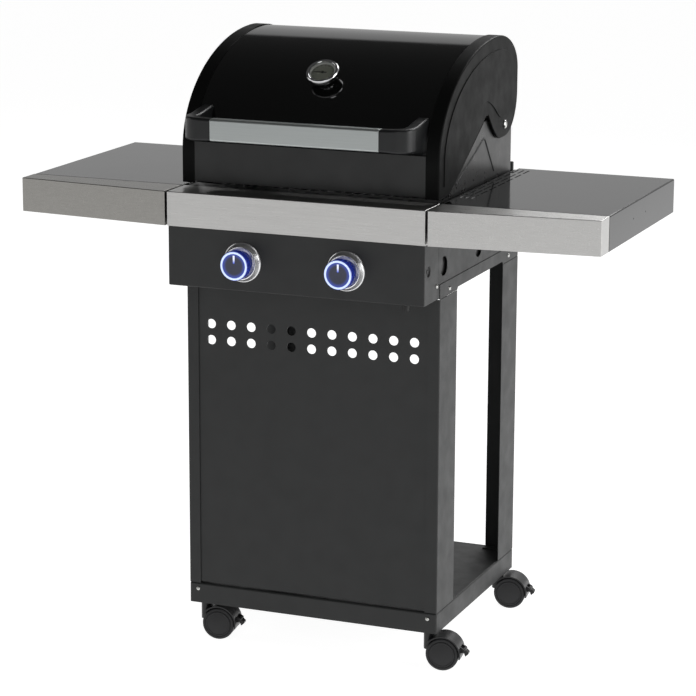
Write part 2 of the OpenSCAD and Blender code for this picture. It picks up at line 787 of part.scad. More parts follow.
module thermometer_needle() {
    z = thermo_neck + thermo_h - 5.5;
    color([0.08, 0.08, 0.08]) at_thermometer() union() {
        translate([0, 0, z]) cylinder(h = 1.6, r = 2.5);
        translate([0, 0, z]) linear_extrude(0.8)
            polygon([[-19, 0], [-3, -1.3], [8, -1], [8, 1], [-3, 1.3]]);
    }
}

module thermometer_glass() {
    color([0.9, 0.93, 0.94, 0.4]) at_thermometer()
        translate([0, 0, thermo_neck + thermo_h - 2.6]) cylinder(h = 1.6, r = thermo_d/2 - 6);
}

// ---- Shelves and trims ----

// A right-hand shelf: a pressed steel tray turned over, with three rows of slots at its inner edge
module shelf() {
    slots = 7;
    slot_l = 38;
    pitch = 49;
    difference() {
        block([shelf_x0, shelf_y0, trim_z], [shelf_x1, shelf_y1, shelf_z]);
        block([shelf_x0 + sheet, shelf_y0 + sheet, trim_z - 1], [shelf_x1 - sheet, shelf_y1 - sheet, shelf_z - sheet]);
        for (row = [0:2], i = [0:slots - 1])
            translate([shelf_x0 + 8 + 11*row, front_y + 86 + pitch*i, shelf_z - 4])
                block([-1.6, -slot_l/2, 0], [1.6, slot_l/2, 6]);
        for (y = [-20, 60]) rod_x([shelf_x1 - 5, y, trim_z + 34], 10, 1.5);
        for (y = [front_y + 60, rear_y - 90]) rod_x([shelf_x0 - 5, y, trim_z + 30], 10, 3.2);
    }
}

// A right-hand shelf trim: front, swept back to the outer end, with a top and an end return
module shelf_trim() {
    front = trim_y;
    outer = trim_y + shelf_sweep;
    end = outer + trim_end;
    difference() {
        translate([0, 0, trim_z]) linear_extrude(trim_h)
            polygon([[shelf_x0, front], [shelf_x1, outer], [shelf_x1, end], [shelf_x1 - 30, end],
                     [shelf_x1 - 30, trim_back], [shelf_x0, trim_back]]);
        translate([0, 0, trim_z - 1]) linear_extrude(trim_h - trim_t + 1)
            polygon([[shelf_x0 - 1, front + trim_t], [shelf_x1 - trim_t, outer + trim_t],
                     [shelf_x1 - trim_t, end + 1], [shelf_x0 - 1, end + 20]]);
    }
}

module centre_trim() {
    x = cart_x;
    color(steel) difference() {
        block([-x, trim_y, trim_z], [x, trim_back, shelf_z]);
        block([-x + trim_t, trim_y + trim_t, trim_z - 1], [x - trim_t, trim_back + 1, shelf_z - trim_t]);
    }
}

placed() base_pan();
placed() post(-1, -1, post_front);  // post_front_left
placed() post(1, -1, post_front);  // post_front_right
placed() post(-1, 1, post_rear);  // post_rear_left
placed() post(1, 1, post_rear);  // post_rear_right
placed() front_panel();
placed() side_rails();
placed() rear_rails();
placed() cart_screws();
placed() caster_sockets();
placed() caster_fork(-stem_x, -stem_y);  // caster_fork_fl
placed() caster_fork(stem_x, -stem_y);  // caster_fork_fr
placed() caster_fork(-stem_x, stem_y);  // caster_fork_rl
placed() caster_fork(stem_x, stem_y);  // caster_fork_rr
placed() caster_wheel(-stem_x, -stem_y);  // caster_wheel_fl
placed() caster_wheel(stem_x, -stem_y);  // caster_wheel_fr
placed() caster_wheel(-stem_x, stem_y);  // caster_wheel_rl
placed() caster_wheel(stem_x, stem_y);  // caster_wheel_rr
placed() brake_lever(-stem_x, -stem_y);  // brake_lever_fl
placed() brake_lever(stem_x, -stem_y);  // brake_lever_fr
placed() brake_lever(-stem_x, stem_y);  // brake_lever_rl
placed() brake_lever(stem_x, stem_y);  // brake_lever_rr
placed() control_panel();
placed() knob_bezels();
placed() knob(-1);  // knob_left
placed() knob(1);  // knob_right
placed() valve_stem(-1);  // valve_stem_left
placed() valve_stem(1);  // valve_stem_right
placed() gas_valves();
placed() gas_manifold();
placed() battery_box();
placed() firebox();
placed() color(enamel) mirror([1, 0, 0]) cheek();  // cheek_left
placed() color(enamel) cheek();  // cheek_right
placed() color(black) mirror([1, 0, 0]) side_plate();  // side_plate_left
placed() color(black) side_plate();  // side_plate_right
placed() front_ledge();
placed() burner(-1);  // burner_left
placed() burner(1);  // burner_right
placed() igniters();
placed() flame_tamers();
placed() cooking_grates();
placed() warming_rack();
placed() grease_tray();
placed() grease_cup();
placed() lid_shell();
placed() lid_strip();
placed() color(black) mirror([1, 0, 0]) lid_cap();  // lid_cap_left
placed() color(black) lid_cap();  // lid_cap_right
placed() hinge_bolts();
placed() handle_bar();
placed() color(black) both_sides() handle_end();  // handle_ends
placed() thermometer_case();
placed() thermometer_needle();
placed() thermometer_glass();
placed() color(enamel) mirror([1, 0, 0]) shelf();  // shelf_left
placed() color(enamel) shelf();  // shelf_right
placed() color(steel) mirror([1, 0, 0]) shelf_trim();  // shelf_trim_left
placed() color(steel) shelf_trim();  // shelf_trim_right
placed() centre_trim();
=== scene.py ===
# %% [markdown]
# # A two-burner gas barbecue on a caster cart
# The shapes that work (frame, hinges, casters, burners) come in as a fixed frame of plain solids. This
# notebook gives every visible part the shape and the finish of the real one: bent sheet metal, pressed
# lid caps, cast grates, moulded casters, brushed and polished steel. Each new piece rides on one of the
# frame's bodies, so it moves when the barbecue moves.

# %% The fixed frame
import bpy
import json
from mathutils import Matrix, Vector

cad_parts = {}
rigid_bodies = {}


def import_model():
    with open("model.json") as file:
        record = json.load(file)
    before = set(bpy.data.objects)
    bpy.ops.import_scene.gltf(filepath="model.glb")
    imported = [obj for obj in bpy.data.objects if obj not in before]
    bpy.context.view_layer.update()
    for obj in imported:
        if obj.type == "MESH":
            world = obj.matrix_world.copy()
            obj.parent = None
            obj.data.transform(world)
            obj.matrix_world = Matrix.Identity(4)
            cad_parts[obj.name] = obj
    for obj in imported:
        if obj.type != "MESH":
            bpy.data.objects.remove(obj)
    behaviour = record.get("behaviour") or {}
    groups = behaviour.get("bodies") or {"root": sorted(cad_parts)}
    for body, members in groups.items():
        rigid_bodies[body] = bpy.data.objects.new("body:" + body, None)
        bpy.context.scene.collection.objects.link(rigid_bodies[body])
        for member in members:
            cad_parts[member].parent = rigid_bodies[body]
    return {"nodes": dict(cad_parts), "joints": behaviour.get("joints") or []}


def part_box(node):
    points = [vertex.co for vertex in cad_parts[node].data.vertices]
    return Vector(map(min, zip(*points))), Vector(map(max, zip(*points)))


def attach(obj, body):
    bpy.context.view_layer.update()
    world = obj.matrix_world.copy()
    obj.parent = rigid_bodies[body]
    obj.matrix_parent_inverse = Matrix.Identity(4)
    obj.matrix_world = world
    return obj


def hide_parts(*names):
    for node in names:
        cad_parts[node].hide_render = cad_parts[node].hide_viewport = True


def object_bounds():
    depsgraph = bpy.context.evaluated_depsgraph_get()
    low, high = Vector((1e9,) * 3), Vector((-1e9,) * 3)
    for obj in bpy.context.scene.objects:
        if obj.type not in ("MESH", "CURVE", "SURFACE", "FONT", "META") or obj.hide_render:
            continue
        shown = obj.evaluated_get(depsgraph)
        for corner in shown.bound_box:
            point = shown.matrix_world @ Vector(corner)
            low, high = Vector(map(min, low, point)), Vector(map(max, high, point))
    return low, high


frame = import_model()
CAD_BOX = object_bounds()

# %% Tools and the few sizes that everything shares
import json
import math

import bmesh
import bpy
from mathutils import Matrix, Vector

MM = 0.001
JOINTS = {joint["name"]: joint for joint in frame["joints"]}
PAN_LOW, PAN_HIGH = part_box("base_pan")
CAP_LOW, CAP_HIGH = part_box("lid_cap_right")
HINGE = Vector(JOINTS["lid_hinge"]["pos_m"])
CORNERS = ("fl", "fr", "rl", "rr")
SIDES = {"left": -1, "right": 1}
print("cart width", round(2*PAN_HIGH.x, 4), "m, lid top", round(CAP_HIGH.z, 4), "m")

# %% [markdown]
# ## Camera, floor and light
# The product is seen from a little above and from its right-hand front, through a long lens, which keeps
# its edges nearly parallel. The room is a plain pale floor under a soft sky that is bright behind the
# barbecue and dim in front of it: gloss enamel shows whatever it mirrors, so a dim front wall is what
# makes a black lid look black, and a bright rear wall is what draws the pale band along its crown.

# %% Camera
CAMERA_PLACE = Vector((1.880, -4.641, 1.740))
CAMERA_YAW, CAMERA_TILT, CAMERA_ROLL = 21.973, 76.781, 0.221
LENS, SENSOR = 139.0, 36.0

camera_data = bpy.data.cameras.new("camera")
camera_data.lens = LENS
camera_data.sensor_width = SENSOR
camera = bpy.data.objects.new("camera", camera_data)
turn = Matrix.Rotation(math.radians(CAMERA_YAW), 4, "Z") @ Matrix.Rotation(math.radians(CAMERA_TILT), 4, "X")
turn = turn @ Matrix.Rotation(math.radians(CAMERA_ROLL), 4, "Z")
camera.matrix_world = Matrix.Translation(CAMERA_PLACE) @ turn
bpy.context.scene.collection.objects.link(camera)
bpy.context.scene.camera = camera
print("camera stands", round(CAMERA_PLACE.length, 2), "m from the middle of the floor")

# %% [markdown]
# A finish is easiest to build with a small class that owns one material: it keeps the Principled shader
# and adds noise, colour and bump nodes in one line each. Values that are the same all over the surface
# go on the shader's own sockets. Every pattern reads Object coordinates, which are metres here, so a
# noise scale of 1000 gives features of about a millimetre.

# %% A short way to write materials
def add_node(tree, kind, inputs=None, **settings):
    """Adds one node; an input is a value, a socket, or a node whose first output is meant."""
    node = tree.nodes.new(kind)
    for key, value in settings.items():
        setattr(node, key, value)
    for key, value in (inputs or {}).items():
        if isinstance(value, bpy.types.Node):
            value = value.outputs[0]
        if isinstance(value, bpy.types.NodeSocket):
            tree.links.new(value, node.inputs[key])
        else:
            node.inputs[key].default_value = value
    return node


class Finish:
    """One material under construction, with its Principled shader and the nodes that feed it."""

    def __init__(self, name, **sockets):
        self.material = bpy.data.materials.new(name)
        self.material.use_nodes = True
        self.tree = self.material.node_tree
        self.shader = self.tree.nodes["Principled BSDF"]
        for socket, value in sockets.items():
            self.shader.inputs[socket.replace("_", " ")].default_value = value

    def add(self, kind, inputs=None, **settings):
        return add_node(self.tree, kind, inputs, **settings)

    def noise(self, scale, detail=2.0, stretch=(1, 1, 1)):
        """Noise over the object's own coordinates; a stretch below 1 draws it out along that axis."""
        where = self.add("ShaderNodeTexCoord").outputs["Object"]
        mapping = self.add("ShaderNodeMapping", {"Vector": where, "Scale": stretch})
        inputs = {"Vector": mapping.outputs[0], "Scale": scale, "Detail": detail}
        return self.add("ShaderNodeTexNoise", inputs).outputs["Fac"]

    def between(self, fac, low, high, start=0.3, end=0.7):
        """Turns a noise's middle range into the range from low to high."""
        inputs = {"Value": fac, "From Min": start, "From Max": end, "To Min": low, "To Max": high}
        return self.add("ShaderNodeMapRange", inputs).outputs[0]

    def colour(self, fac, first, second, socket="Base Color"):
        """A colour that wanders between two colours."""
        mix = self.add("ShaderNodeMix", {0: fac, 6: (*first, 1), 7: (*second, 1)}, data_type="RGBA")
        self.tree.links.new(mix.outputs[2], self.shader.inputs[socket])
        return self

    def roughness(self, fac, low, high):
        self.tree.links.new(self.between(fac, low, high), self.shader.inputs["Roughness"])
        return self

    def bump(self, fac, strength, depth):
        """Relief of a given depth in metres."""
        inputs = {"Height": fac, "Strength": strength, "Distance": depth}
        relief = self.add("ShaderNodeBump", inputs)
        before = self.shader.inputs["Normal"]
        if before.is_linked:
            self.tree.links.new(before.links[0].from_socket, relief.inputs["Normal"])
        self.tree.links.new(relief.outputs[0], before)
        return self

# %% The floor and the room's light
FLOOR_HALF = 30.0
floor_mesh = bpy.data.meshes.new("floor")
corners = [(-1, -1), (1, -1), (1, 1), (-1, 1)]
floor_mesh.from_pydata([(x*FLOOR_HALF, y*FLOOR_HALF, 0) for x, y in corners], [], [(0, 1, 2, 3)])
floor = bpy.data.objects.new("floor", floor_mesh)
bpy.context.scene.collection.objects.link(floor)
floor_finish = Finish("floor_white", Roughness=0.8, Specular_IOR_Level=0.1, Base_Color=(0.40, 0.40, 0.40, 1),
                      Emission_Color=(1, 1, 1, 1), Emission_Strength=0.94)
floor_mesh.materials.append(floor_finish.material)

# %% The sky: dim in front and overhead, bright low down behind the barbecue
SKY_DIM, SKY_BACK = 0.055, 0.50
world = bpy.data.worlds.new("studio")
bpy.context.scene.world = world
world.use_nodes = True
sky = world.node_tree


def sky_ramp(source, start, end, low, high):
    """A smooth change of one component of the sky's direction into a brightness."""
    inputs = {"Value": source, "From Min": start, "From Max": end, "To Min": low, "To Max": high}
    return add_node(sky, "ShaderNodeMapRange", inputs, interpolation_type="SMOOTHSTEP").outputs[0]


direction = add_node(sky, "ShaderNodeTexCoord").outputs["Generated"]
axes = add_node(sky, "ShaderNodeSeparateXYZ", {0: direction})
behind = sky_ramp(axes.outputs["Y"], 0.30, 0.75, 0.0, SKY_BACK)
below_edge = sky_ramp(axes.outputs["Z"], 0.41, 0.46, 1.0, 0.0)
wall = add_node(sky, "ShaderNodeMath", {0: behind, 1: below_edge}, operation="MULTIPLY")
total = add_node(sky, "ShaderNodeMath", {0: wall, 1: SKY_DIM})
sky.links.new(total.outputs[0], sky.nodes["Background"].inputs["Strength"])
sky.nodes["Background"].inputs["Color"].default_value = (1, 1, 1, 1)


def softbox(name, place, target, size, power):
    """A large square lamp that faces a point."""
    lamp = bpy.data.lights.new(name, "AREA")
    lamp.size = size
    lamp.energy = power
    holder = bpy.data.objects.new(name, lamp)
    facing = (Vector(target) - Vector(place)).to_track_quat("-Z", "Y")
    holder.matrix_world = Matrix.Translation(place) @ facing.to_matrix().to_4x4()
    bpy.context.scene.collection.objects.link(holder)


MIDDLE = Vector((0, 0, 0.7))
softbox("softbox_right", (4.2, 0.4, 1.8), MIDDLE, 2.6, 105)
softbox("softbox_left", (-4.2, -1.0, 2.2), MIDDLE, 2.2, 18)
softbox("softbox_front", (1.4, -4.8, 3.0), MIDDLE, 2.0, 42)
softbox("softbox_rear", (0.5, 3.6, 3.4), MIDDLE, 2.4, 90)
bpy.context.scene.view_settings.view_transform = "Standard"

# %% [markdown]
# ## Finishes
# Powder coat is paint baked on as a powder. It is satin, and its skin has a fine orange-peel relief.
# Enamel is glass fused on steel: mirror-smooth, with a very long, shallow wave in it. Brushed steel is
# scratched along one direction, which noise stretched along that axis draws well. Each finish varies a
# little in colour and roughness, because a surface with one value everywhere looks like a computer's.

# %% Painted and enamelled black
def powder_coat(name, tone, sheen, shine=0.36):
    """Satin powder coat: fine relief, slightly uneven gloss."""
    finish = Finish(name, Specular_IOR_Level=shine)
    light = tuple(1.25*part for part in tone)
    finish.colour(finish.noise(9, 3), tone, light)
    finish.roughness(finish.noise(30, 4), sheen - 0.05, sheen + 0.06)
    finish.bump(finish.noise(900, 2), 0.35, 0.00012)
    return finish.bump(finish.noise(160, 2), 0.25, 0.0001).material


def gloss_enamel(name, tone, wave, shine=0.5):
    """Glass enamel: a mirror with a long shallow wave and faint wiping marks."""
    finish = Finish(name, Specular_IOR_Level=shine)
    finish.colour(finish.noise(5, 2), tone, tuple(1.4*part for part in tone))
    finish.roughness(finish.noise(14, 5), 0.06, 0.11)
    return finish.bump(finish.noise(26, 1), 0.12, wave).material


POWDER = powder_coat("powder_black", (0.0165, 0.0172, 0.0173), 0.46)
SATIN = powder_coat("satin_black", (0.014, 0.0145, 0.0145), 0.40)
LID_ENAMEL = gloss_enamel("lid_enamel", (0.0028, 0.0030, 0.0029), 0.0001)
SHELF_ENAMEL = gloss_enamel("shelf_enamel", (0.005, 0.0055, 0.0055), 0.00003, 0.40)
BOX_ENAMEL = powder_coat("box_enamel", (0.009, 0.009, 0.009), 0.30)
STRIP_SATIN = powder_coat("strip_satin", (0.014, 0.0145, 0.0145), 0.34)
CAP_SATIN = powder_coat("cap_satin", (0.0035, 0.0037, 0.0036), 0.46, 0.07)

# %% Steels
def brushed(name, tone, along, rough, strength=0.5):
    """Brushed metal: fine scratches drawn out along one axis."""
    finish = Finish(name, Metallic=1.0)
    stretch = [1.0, 1.0, 1.0]
    stretch["XYZ".index(along)] = 0.012
    grain = finish.noise(1500, 3, stretch)
    finish.colour(finish.noise(420, 4, stretch), tone, tuple(0.86*part for part in tone))
    finish.roughness(grain, rough - 0.05, rough + 0.08)
    finish.bump(grain, strength, 0.00004)
    return finish.material


def polished(name, tone, rough):
    """Plated or polished metal with faint haze."""
    finish = Finish(name, Metallic=1.0)
    finish.colour(finish.noise(40, 2), tone, tuple(0.94*part for part in tone))
    finish.roughness(finish.noise(120, 4), rough, rough + 0.06)
    return finish.bump(finish.noise(70, 1), 0.05, 0.0002).material


TRIM_STEEL = brushed("trim_steel", (0.54, 0.535, 0.525), "X", 0.30, 0.25)
# The left trim's darker copy of the same steel: painted shade, for the side that gets less light
SHADED_TRIM_STEEL = brushed("shade_steel", (0.32, 0.312, 0.295), "X", 0.30, 0.25)
CHROME = polished("chrome", (0.80, 0.80, 0.81), 0.07)
BEZEL_CHROME = polished("bezel_chrome", (0.92, 0.92, 0.93), 0.27)
ZINC = polished("zinc_plate", (0.62, 0.62, 0.60), 0.24)
BRASS = polished("valve_brass", (0.60, 0.45, 0.20), 0.30)
HANDLE_GREY = brushed("handle_aluminium", (0.44, 0.465, 0.46), "X", 0.42, 0.25)
BURNER_STEEL = brushed("burner_steel", (0.52, 0.48, 0.43), "Y", 0.38)
TRAY_STEEL = polished("tray_steel", (0.50, 0.51, 0.52), 0.34)

# %% Castings, plastics and glass
def moulded(name, tone, rough, grain=260):
    """Moulded plastic with a spark-eroded grain."""
    finish = Finish(name, Specular_IOR_Level=0.36)
    finish.colour(finish.noise(18, 2), tone, tuple(1.2*part for part in tone))
    finish.roughness(finish.noise(60, 3), rough - 0.04, rough + 0.05)
    return finish.bump(finish.noise(grain, 3), 0.3, 0.0001).material


def cast_iron(name, tone):
    """Cast iron under matt enamel: coarse skin, uneven gloss."""
    finish = Finish(name, Specular_IOR_Level=0.4)
    finish.colour(finish.noise(30, 4), tone, tuple(1.7*part for part in tone))
    finish.roughness(finish.noise(80, 4), 0.42, 0.66)
    return finish.bump(finish.noise(420, 4), 0.7, 0.0004).material


PLASTIC = moulded("elbow_plastic", (0.007, 0.0075, 0.008), 0.36)
# A near-black coat on the gas manifold: painted shade that hides its stub in the dark
MANIFOLD_PAINTED_SHADE = powder_coat("pipe_black", (0.010, 0.010, 0.010), 0.45)
CASTER = moulded("caster_plastic", (0.010, 0.010, 0.011), 0.30)
TYRE = moulded("tyre_plastic", (0.013, 0.013, 0.014), 0.46)
GRATE_IRON = cast_iron("grate_iron", (0.020, 0.020, 0.020))
PORCELAIN = moulded("porcelain", (0.80, 0.79, 0.74), 0.18, 90)
BLACK_PAINT = moulded("marking_black", (0.01, 0.01, 0.01), 0.4)
print("finishes so far:", len(bpy.data.materials))

# %% The lit knob: glass-like blue, a glowing ring, a fading pointer
def lit_blue(name, near, far, start, end, power, rough, base=(0.01, 0.03, 0.30)):
    """Plastic lit from inside: the glow changes with distance from the knob's axis."""
    finish = Finish(name, Roughness=rough, Specular_IOR_Level=0.5, Coat_Weight=0.3, Base_Color=(*base, 1),
                    Emission_Strength=power)
    where = finish.add("ShaderNodeTexCoord").outputs["Object"]
    parts = finish.add("ShaderNodeSeparateXYZ", {"Vector": where})
    across = finish.add("ShaderNodeMath", {0: parts.outputs["X"]}, operation="ABSOLUTE").outputs[0]
    knob_x, knob_z = JOINTS["knob_turn_right"]["pos_m"][0], JOINTS["knob_turn_right"]["pos_m"][2]
    dx = finish.add("ShaderNodeMath", {0: across, 1: knob_x}, operation="SUBTRACT").outputs[0]
    dz = finish.add("ShaderNodeMath", {0: parts.outputs["Z"], 1: knob_z}, operation="SUBTRACT").outputs[0]
    flat = finish.add("ShaderNodeCombineXYZ", {0: dx, 1: dz})
    radius = finish.add("ShaderNodeVectorMath", {0: flat.outputs[0]}, operation="LENGTH").outputs["Value"]
    share = finish.between(radius, 0.0, 1.0, start*MM, end*MM)
    return finish.colour(share, near, far, "Emission Color").material


def knob_body():
    """The knob's sides are dark blue with lighter glowing streaks that paint highlights on them; its rim
    glows blue-white.
    """
    finish = Finish("knob_body", Roughness=0.22, Specular_IOR_Level=0.6, Coat_Weight=0.5,
                    Base_Color=(0.01, 0.02, 0.22, 1))
    where = finish.add("ShaderNodeTexCoord").outputs["Object"]
    parts = finish.add("ShaderNodeSeparateXYZ", {"Vector": where})
    face_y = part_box("knob_right")[0].y
    rim = finish.between(parts.outputs["Y"], 1.0, 0.0, face_y + 0.3*MM, face_y + 1.5*MM)
    # Painted highlights: glowing streaks along the knob's sides
    highlight_streaks = finish.between(finish.noise(420, 1, (1, 0.1, 1)), 0.0, 0.30, 0.56, 0.66)
    finish.colour(rim, (0.02, 0.06, 0.60), (0.66, 0.78, 1.0), "Emission Color")
    glow = finish.add("ShaderNodeMath", {0: rim, 1: highlight_streaks}, operation="ADD").outputs[0]
    lift = finish.add("ShaderNodeMath", {0: glow, 1: 0.10}, operation="ADD").outputs[0]
    finish.tree.links.new(lift, finish.shader.inputs["Emission Strength"])
    return finish.material


KNOB_BODY = knob_body()
KNOB_FACE_BLUE = lit_blue("knob_face", (0.002, 0.003, 0.014), (0.015, 0.05, 0.42), 15.5, 22.6, 0.9, 0.30,
                          (0.012, 0.016, 0.035))
POINTER = lit_blue("pointer_light", (0.02, 0.06, 0.5), (0.9, 0.95, 1.0), 5.0, 13.0, 1.0, 0.3)

# %% Clear glass and the dial's print
def printed(name, tone, rough):
    """Matt printing ink."""
    finish = Finish(name, Specular_IOR_Level=0.3)
    finish.colour(finish.noise(60, 2), tone, tuple(1.08*part for part in tone))
    return finish.roughness(finish.noise(90, 2), rough, rough + 0.08).material


# Flat glass: its low index keeps what lies behind it sharp and bright
CLEAR_GLASS = Finish("clear_glass", Roughness=0.02, IOR=1.2, Transmission_Weight=1.0,
                     Base_Color=(0.97, 0.98, 0.98, 1)).material
DIAL_PRINT = printed("dial_print", (0.22, 0.225, 0.185), 0.5)
DIAL_RING = printed("dial_ring", (0.50, 0.50, 0.47), 0.5)
DIAL_MARK = printed("dial_mark", (0.03, 0.03, 0.028), 0.5)
print("finishes:", len([m for m in bpy.data.materials if m.use_nodes]))

# %% [markdown]
# ## Three ways to make a part
# A part of this barbecue is one of three things. Sheet metal is drawn as the bare outer skin of a bend,
# which a Bevel rounds and a Solidify then gives its gauge. Turned parts are a profile spun round an axis.
# Moulded or cast parts are a row of cross-sections joined by quads. Whatever the modifiers make is turned
# into a plain mesh at once, so nothing changes later, when the piece is moved or exported.

# %% From a modifier stack to a plain mesh
SMOOTH_ANGLE = math.radians(32)
MADE = {}


def object_from(name, mesh):
    obj = bpy.data.objects.new(name, mesh)
    bpy.context.scene.collection.objects.link(obj)
    return obj


def settle(obj):
    """Replaces an object's mesh with what its modifiers make, and removes them."""
    graph = bpy.context.evaluated_depsgraph_get()
    graph.update()
    mesh = bpy.data.meshes.new_from_object(obj.evaluated_get(graph), depsgraph=graph)
    obj.modifiers.clear()
    obj.data = mesh
    return obj


def shade(mesh, angle=SMOOTH_ANGLE):
    mesh.shade_smooth()
    mesh.set_sharp_from_angle(angle=angle)
    return mesh


def place(piece, body, slot, finish, *replaced):
    """Gives a piece its finish, its body and the frame nodes that it stands for."""
    # Large flat faces decide the normals, so a flat stays flat in the light and only the bends shade off
    flats = piece.modifiers.new("flats", "WEIGHTED_NORMAL")
    flats.keep_sharp = True
    settle(piece)
    piece.data.materials.clear()
    piece.data.materials.append(finish)
    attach(piece, body)
    if replaced:
        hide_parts(*replaced)
    MADE[piece.name] = len(piece.data.polygons)
    return piece


def mesh_from(name, points, faces, outward=True):
    mesh = bpy.data.meshes.new(name)
    mesh.from_pydata([tuple(point) for point in points], [], faces)
    if outward:
        bm = bmesh.new()
        bm.from_mesh(mesh)
        bmesh.ops.recalc_face_normals(bm, faces=bm.faces)
        bm.to_mesh(mesh)
        bm.free()
    return mesh


def joined(name, *objects):
    """One object from several plain ones."""
    bm = bmesh.new()
    for obj in objects:
        bm.from_mesh(obj.data)
        bpy.data.objects.remove(obj)
    mesh = bpy.data.meshes.new(name)
    bm.to_mesh(mesh)
    bm.free()
    return object_from(name, shade(mesh))


def mirrored(piece, name):
    """A left-hand copy of a right-hand piece, with its faces still pointing out."""
    mesh = piece.data.copy()
    mesh.transform(Matrix.Scale(-1, 4, (1, 0, 0)))
    mesh.flip_normals()
    return object_from(name, mesh)


def place_twins(right, left_name, body, slot, finish, node=None, left_finish=None):
    """Places a right-hand piece and its mirror image; the left one stands for the node's left twin."""
    left = mirrored(right, left_name)
    place(right, body, slot, finish, *([node] if node else []))
    place(left, body, slot, left_finish or finish, *([node.replace("right", "left")] if node else []))

# %% Bent sheet metal
def thicken(obj, radius, gauge, segments=4):
    """Rounds the bends of a bare skin and gives it its gauge, inwards."""
    if radius:
        bend = obj.modifiers.new("bend", "BEVEL")
        bend.width = radius
        bend.segments = segments
        bend.limit_method = "ANGLE"
        bend.angle_limit = math.radians(30)
    if gauge:
        wall = obj.modifiers.new("wall", "SOLIDIFY")
        wall.thickness = gauge
        wall.offset = -1
        wall.use_even_offset = True
    settle(obj)
    shade(obj.data)
    return obj


def sheet(name, points, faces, radius, gauge):
    """A bare skin, rounded at its bends and given its gauge."""
    return thicken(object_from(name, mesh_from(name, points, faces, outward=False)), radius, gauge)


def open_box(name, low, high, open_sides, radius, gauge):
    """A pressed box: some sides are left open, and its bends are rounded."""
    xs, ys, zs = zip(low, high)
    points = [(x, y, z) for z in zs for y in ys for x in xs]
    sides = {"-z": (0, 2, 3, 1), "+z": (4, 5, 7, 6), "-y": (0, 1, 5, 4), "+y": (2, 6, 7, 3),
             "-x": (0, 4, 6, 2), "+x": (1, 3, 7, 5)}
    faces = [face for side, face in sides.items() if side not in open_sides]
    return sheet(name, points, faces, radius, gauge)


def folded(name, path, axis, start, end, radius, gauge):
    """A strip folded along a path: the path lies across the axis that the strip runs along."""
    order = {"X": (2, 0, 1), "Z": (0, 1, 2)}[axis]
    points = []
    for along in (start, end):
        for first, second in path:
            flat = (first, second, along)
            points.append([flat[order[k]] for k in range(3)])
    n = len(path)
    faces = [(i, i + 1, n + i + 1, n + i) for i in range(n - 1)]
    return sheet(name, points, faces, radius, gauge)


def tray(name, outline, walls, low, high, radius, gauge):
    """A flat top of any outline, given anticlockwise, with walls down under some of its edges."""
    n = len(outline)
    points = [(x, y, high) for x, y in outline] + [(x, y, low) for x, y in outline]
    faces = [tuple(range(n))] + [(i, n + i, n + (i + 1) % n, (i + 1) % n) for i in walls]
    return sheet(name, points, faces, radius, gauge)


def softened(node, radius, segments=2):
    """A copy of a frame node with its loose triangles merged and its sharp edges eased."""
    mesh = frame["nodes"][node].data.copy()
    custom = mesh.attributes.get("custom_normal")
    if custom:
        mesh.attributes.remove(custom)
    bm = bmesh.new()
    bm.from_mesh(mesh)
    bmesh.ops.remove_doubles(bm, verts=bm.verts, dist=2e-6)
    bmesh.ops.dissolve_limit(bm, angle_limit=math.radians(0.5), verts=bm.verts, edges=bm.edges)
    bmesh.ops.delete(bm, geom=[v for v in bm.verts if not v.link_faces], context="VERTS")
    bm.to_mesh(mesh)
    bm.free()
    return thicken(object_from(node + "_eased", mesh), radius, 0, segments)


def punch(piece, *tools):
    """Cuts the tools' shapes out of a piece, and removes the tools."""
    for tool in tools:
        cut = piece.modifiers.new("cut", "BOOLEAN")
        cut.object = tool
        cut.solver = "EXACT"
    settle(piece)
    for tool in tools:
        bpy.data.objects.remove(tool)
    shade(piece.data)
    return piece

# %% Turned parts and lofts
def lathe(name, profile, matrix=Matrix(), steps=64):
    """Spins (radius, height) points round the Z axis, then moves the result to its place."""
    points, rings = [], []
    for radius, height in profile:
        if radius < 1e-7:
            rings.append([len(points)]*steps)
            points.append((0, 0, height))
            continue
        rings.append(list(range(len(points), len(points) + steps)))
        for i in range(steps):
            angle = math.tau*i/steps
            points.append((radius*math.cos(angle), radius*math.sin(angle), height))
    faces = []
    for ring, following in zip(rings, rings[1:]):
        for i in range(steps):
            j = (i + 1) % steps
            face = dict.fromkeys((ring[i], ring[j], following[j], following[i]))
            if len(face) > 2:
                faces.append(tuple(face))
    mesh = mesh_from(name, points, faces)
    mesh.transform(matrix)
    return object_from(name, shade(mesh))


def loft(name, rings, matrix=Matrix(), capped=True):
    """Joins rings of equal length with quads and closes both ends."""
    n = len(rings[0])
    points = [point for ring in rings for point in ring]
    faces = []
    for k in range(len(rings) - 1):
        for i in range(n):
            j = (i + 1) % n
            faces.append((k*n + i, k*n + j, (k + 1)*n + j, (k + 1)*n + i))
    if capped:
        faces.append(tuple(range(n)))
        faces.append(tuple((len(rings) - 1)*n + i for i in range(n)))
    mesh = mesh_from(name, points, faces)
    mesh.transform(matrix)
    return object_from(name, shade(mesh))


def rounded(points, radius, steps=5, closed=True):
    """A 2D outline with each corner replaced by an arc; radius is one value or one for each corner."""
    result = []
    n = len(points)
    for i, point in enumerate(points):
        r = radius[i] if isinstance(radius, (list, tuple)) else radius
        if r <= 0 or (not closed and i in (0, n - 1)):
            result.append(tuple(point))
            continue
        corner = Vector(point)
        before = (Vector(points[i - 1]) - corner).normalized()
        after = (Vector(points[(i + 1) % n]) - corner).normalized()
        half = before.angle(after)/2
        run = r/math.tan(half)
        centre = corner + (before + after).normalized()*(r/math.sin(half))
        start, end = corner + before*run - centre, corner + after*run - centre
        sweep = start.angle_signed(end)
        for k in range(steps + 1):
            angle = -sweep*k/steps
            c, s = math.cos(angle), math.sin(angle)
            result.append(tuple(centre + Vector((c*start.x - s*start.y, s*start.x + c*start.y))))
    return result


def box_outline(width, height, radius, steps=5):
    w, h = width/2, height/2
    return rounded([(-w, -h), (w, -h), (w, h), (-w, h)], radius, steps)

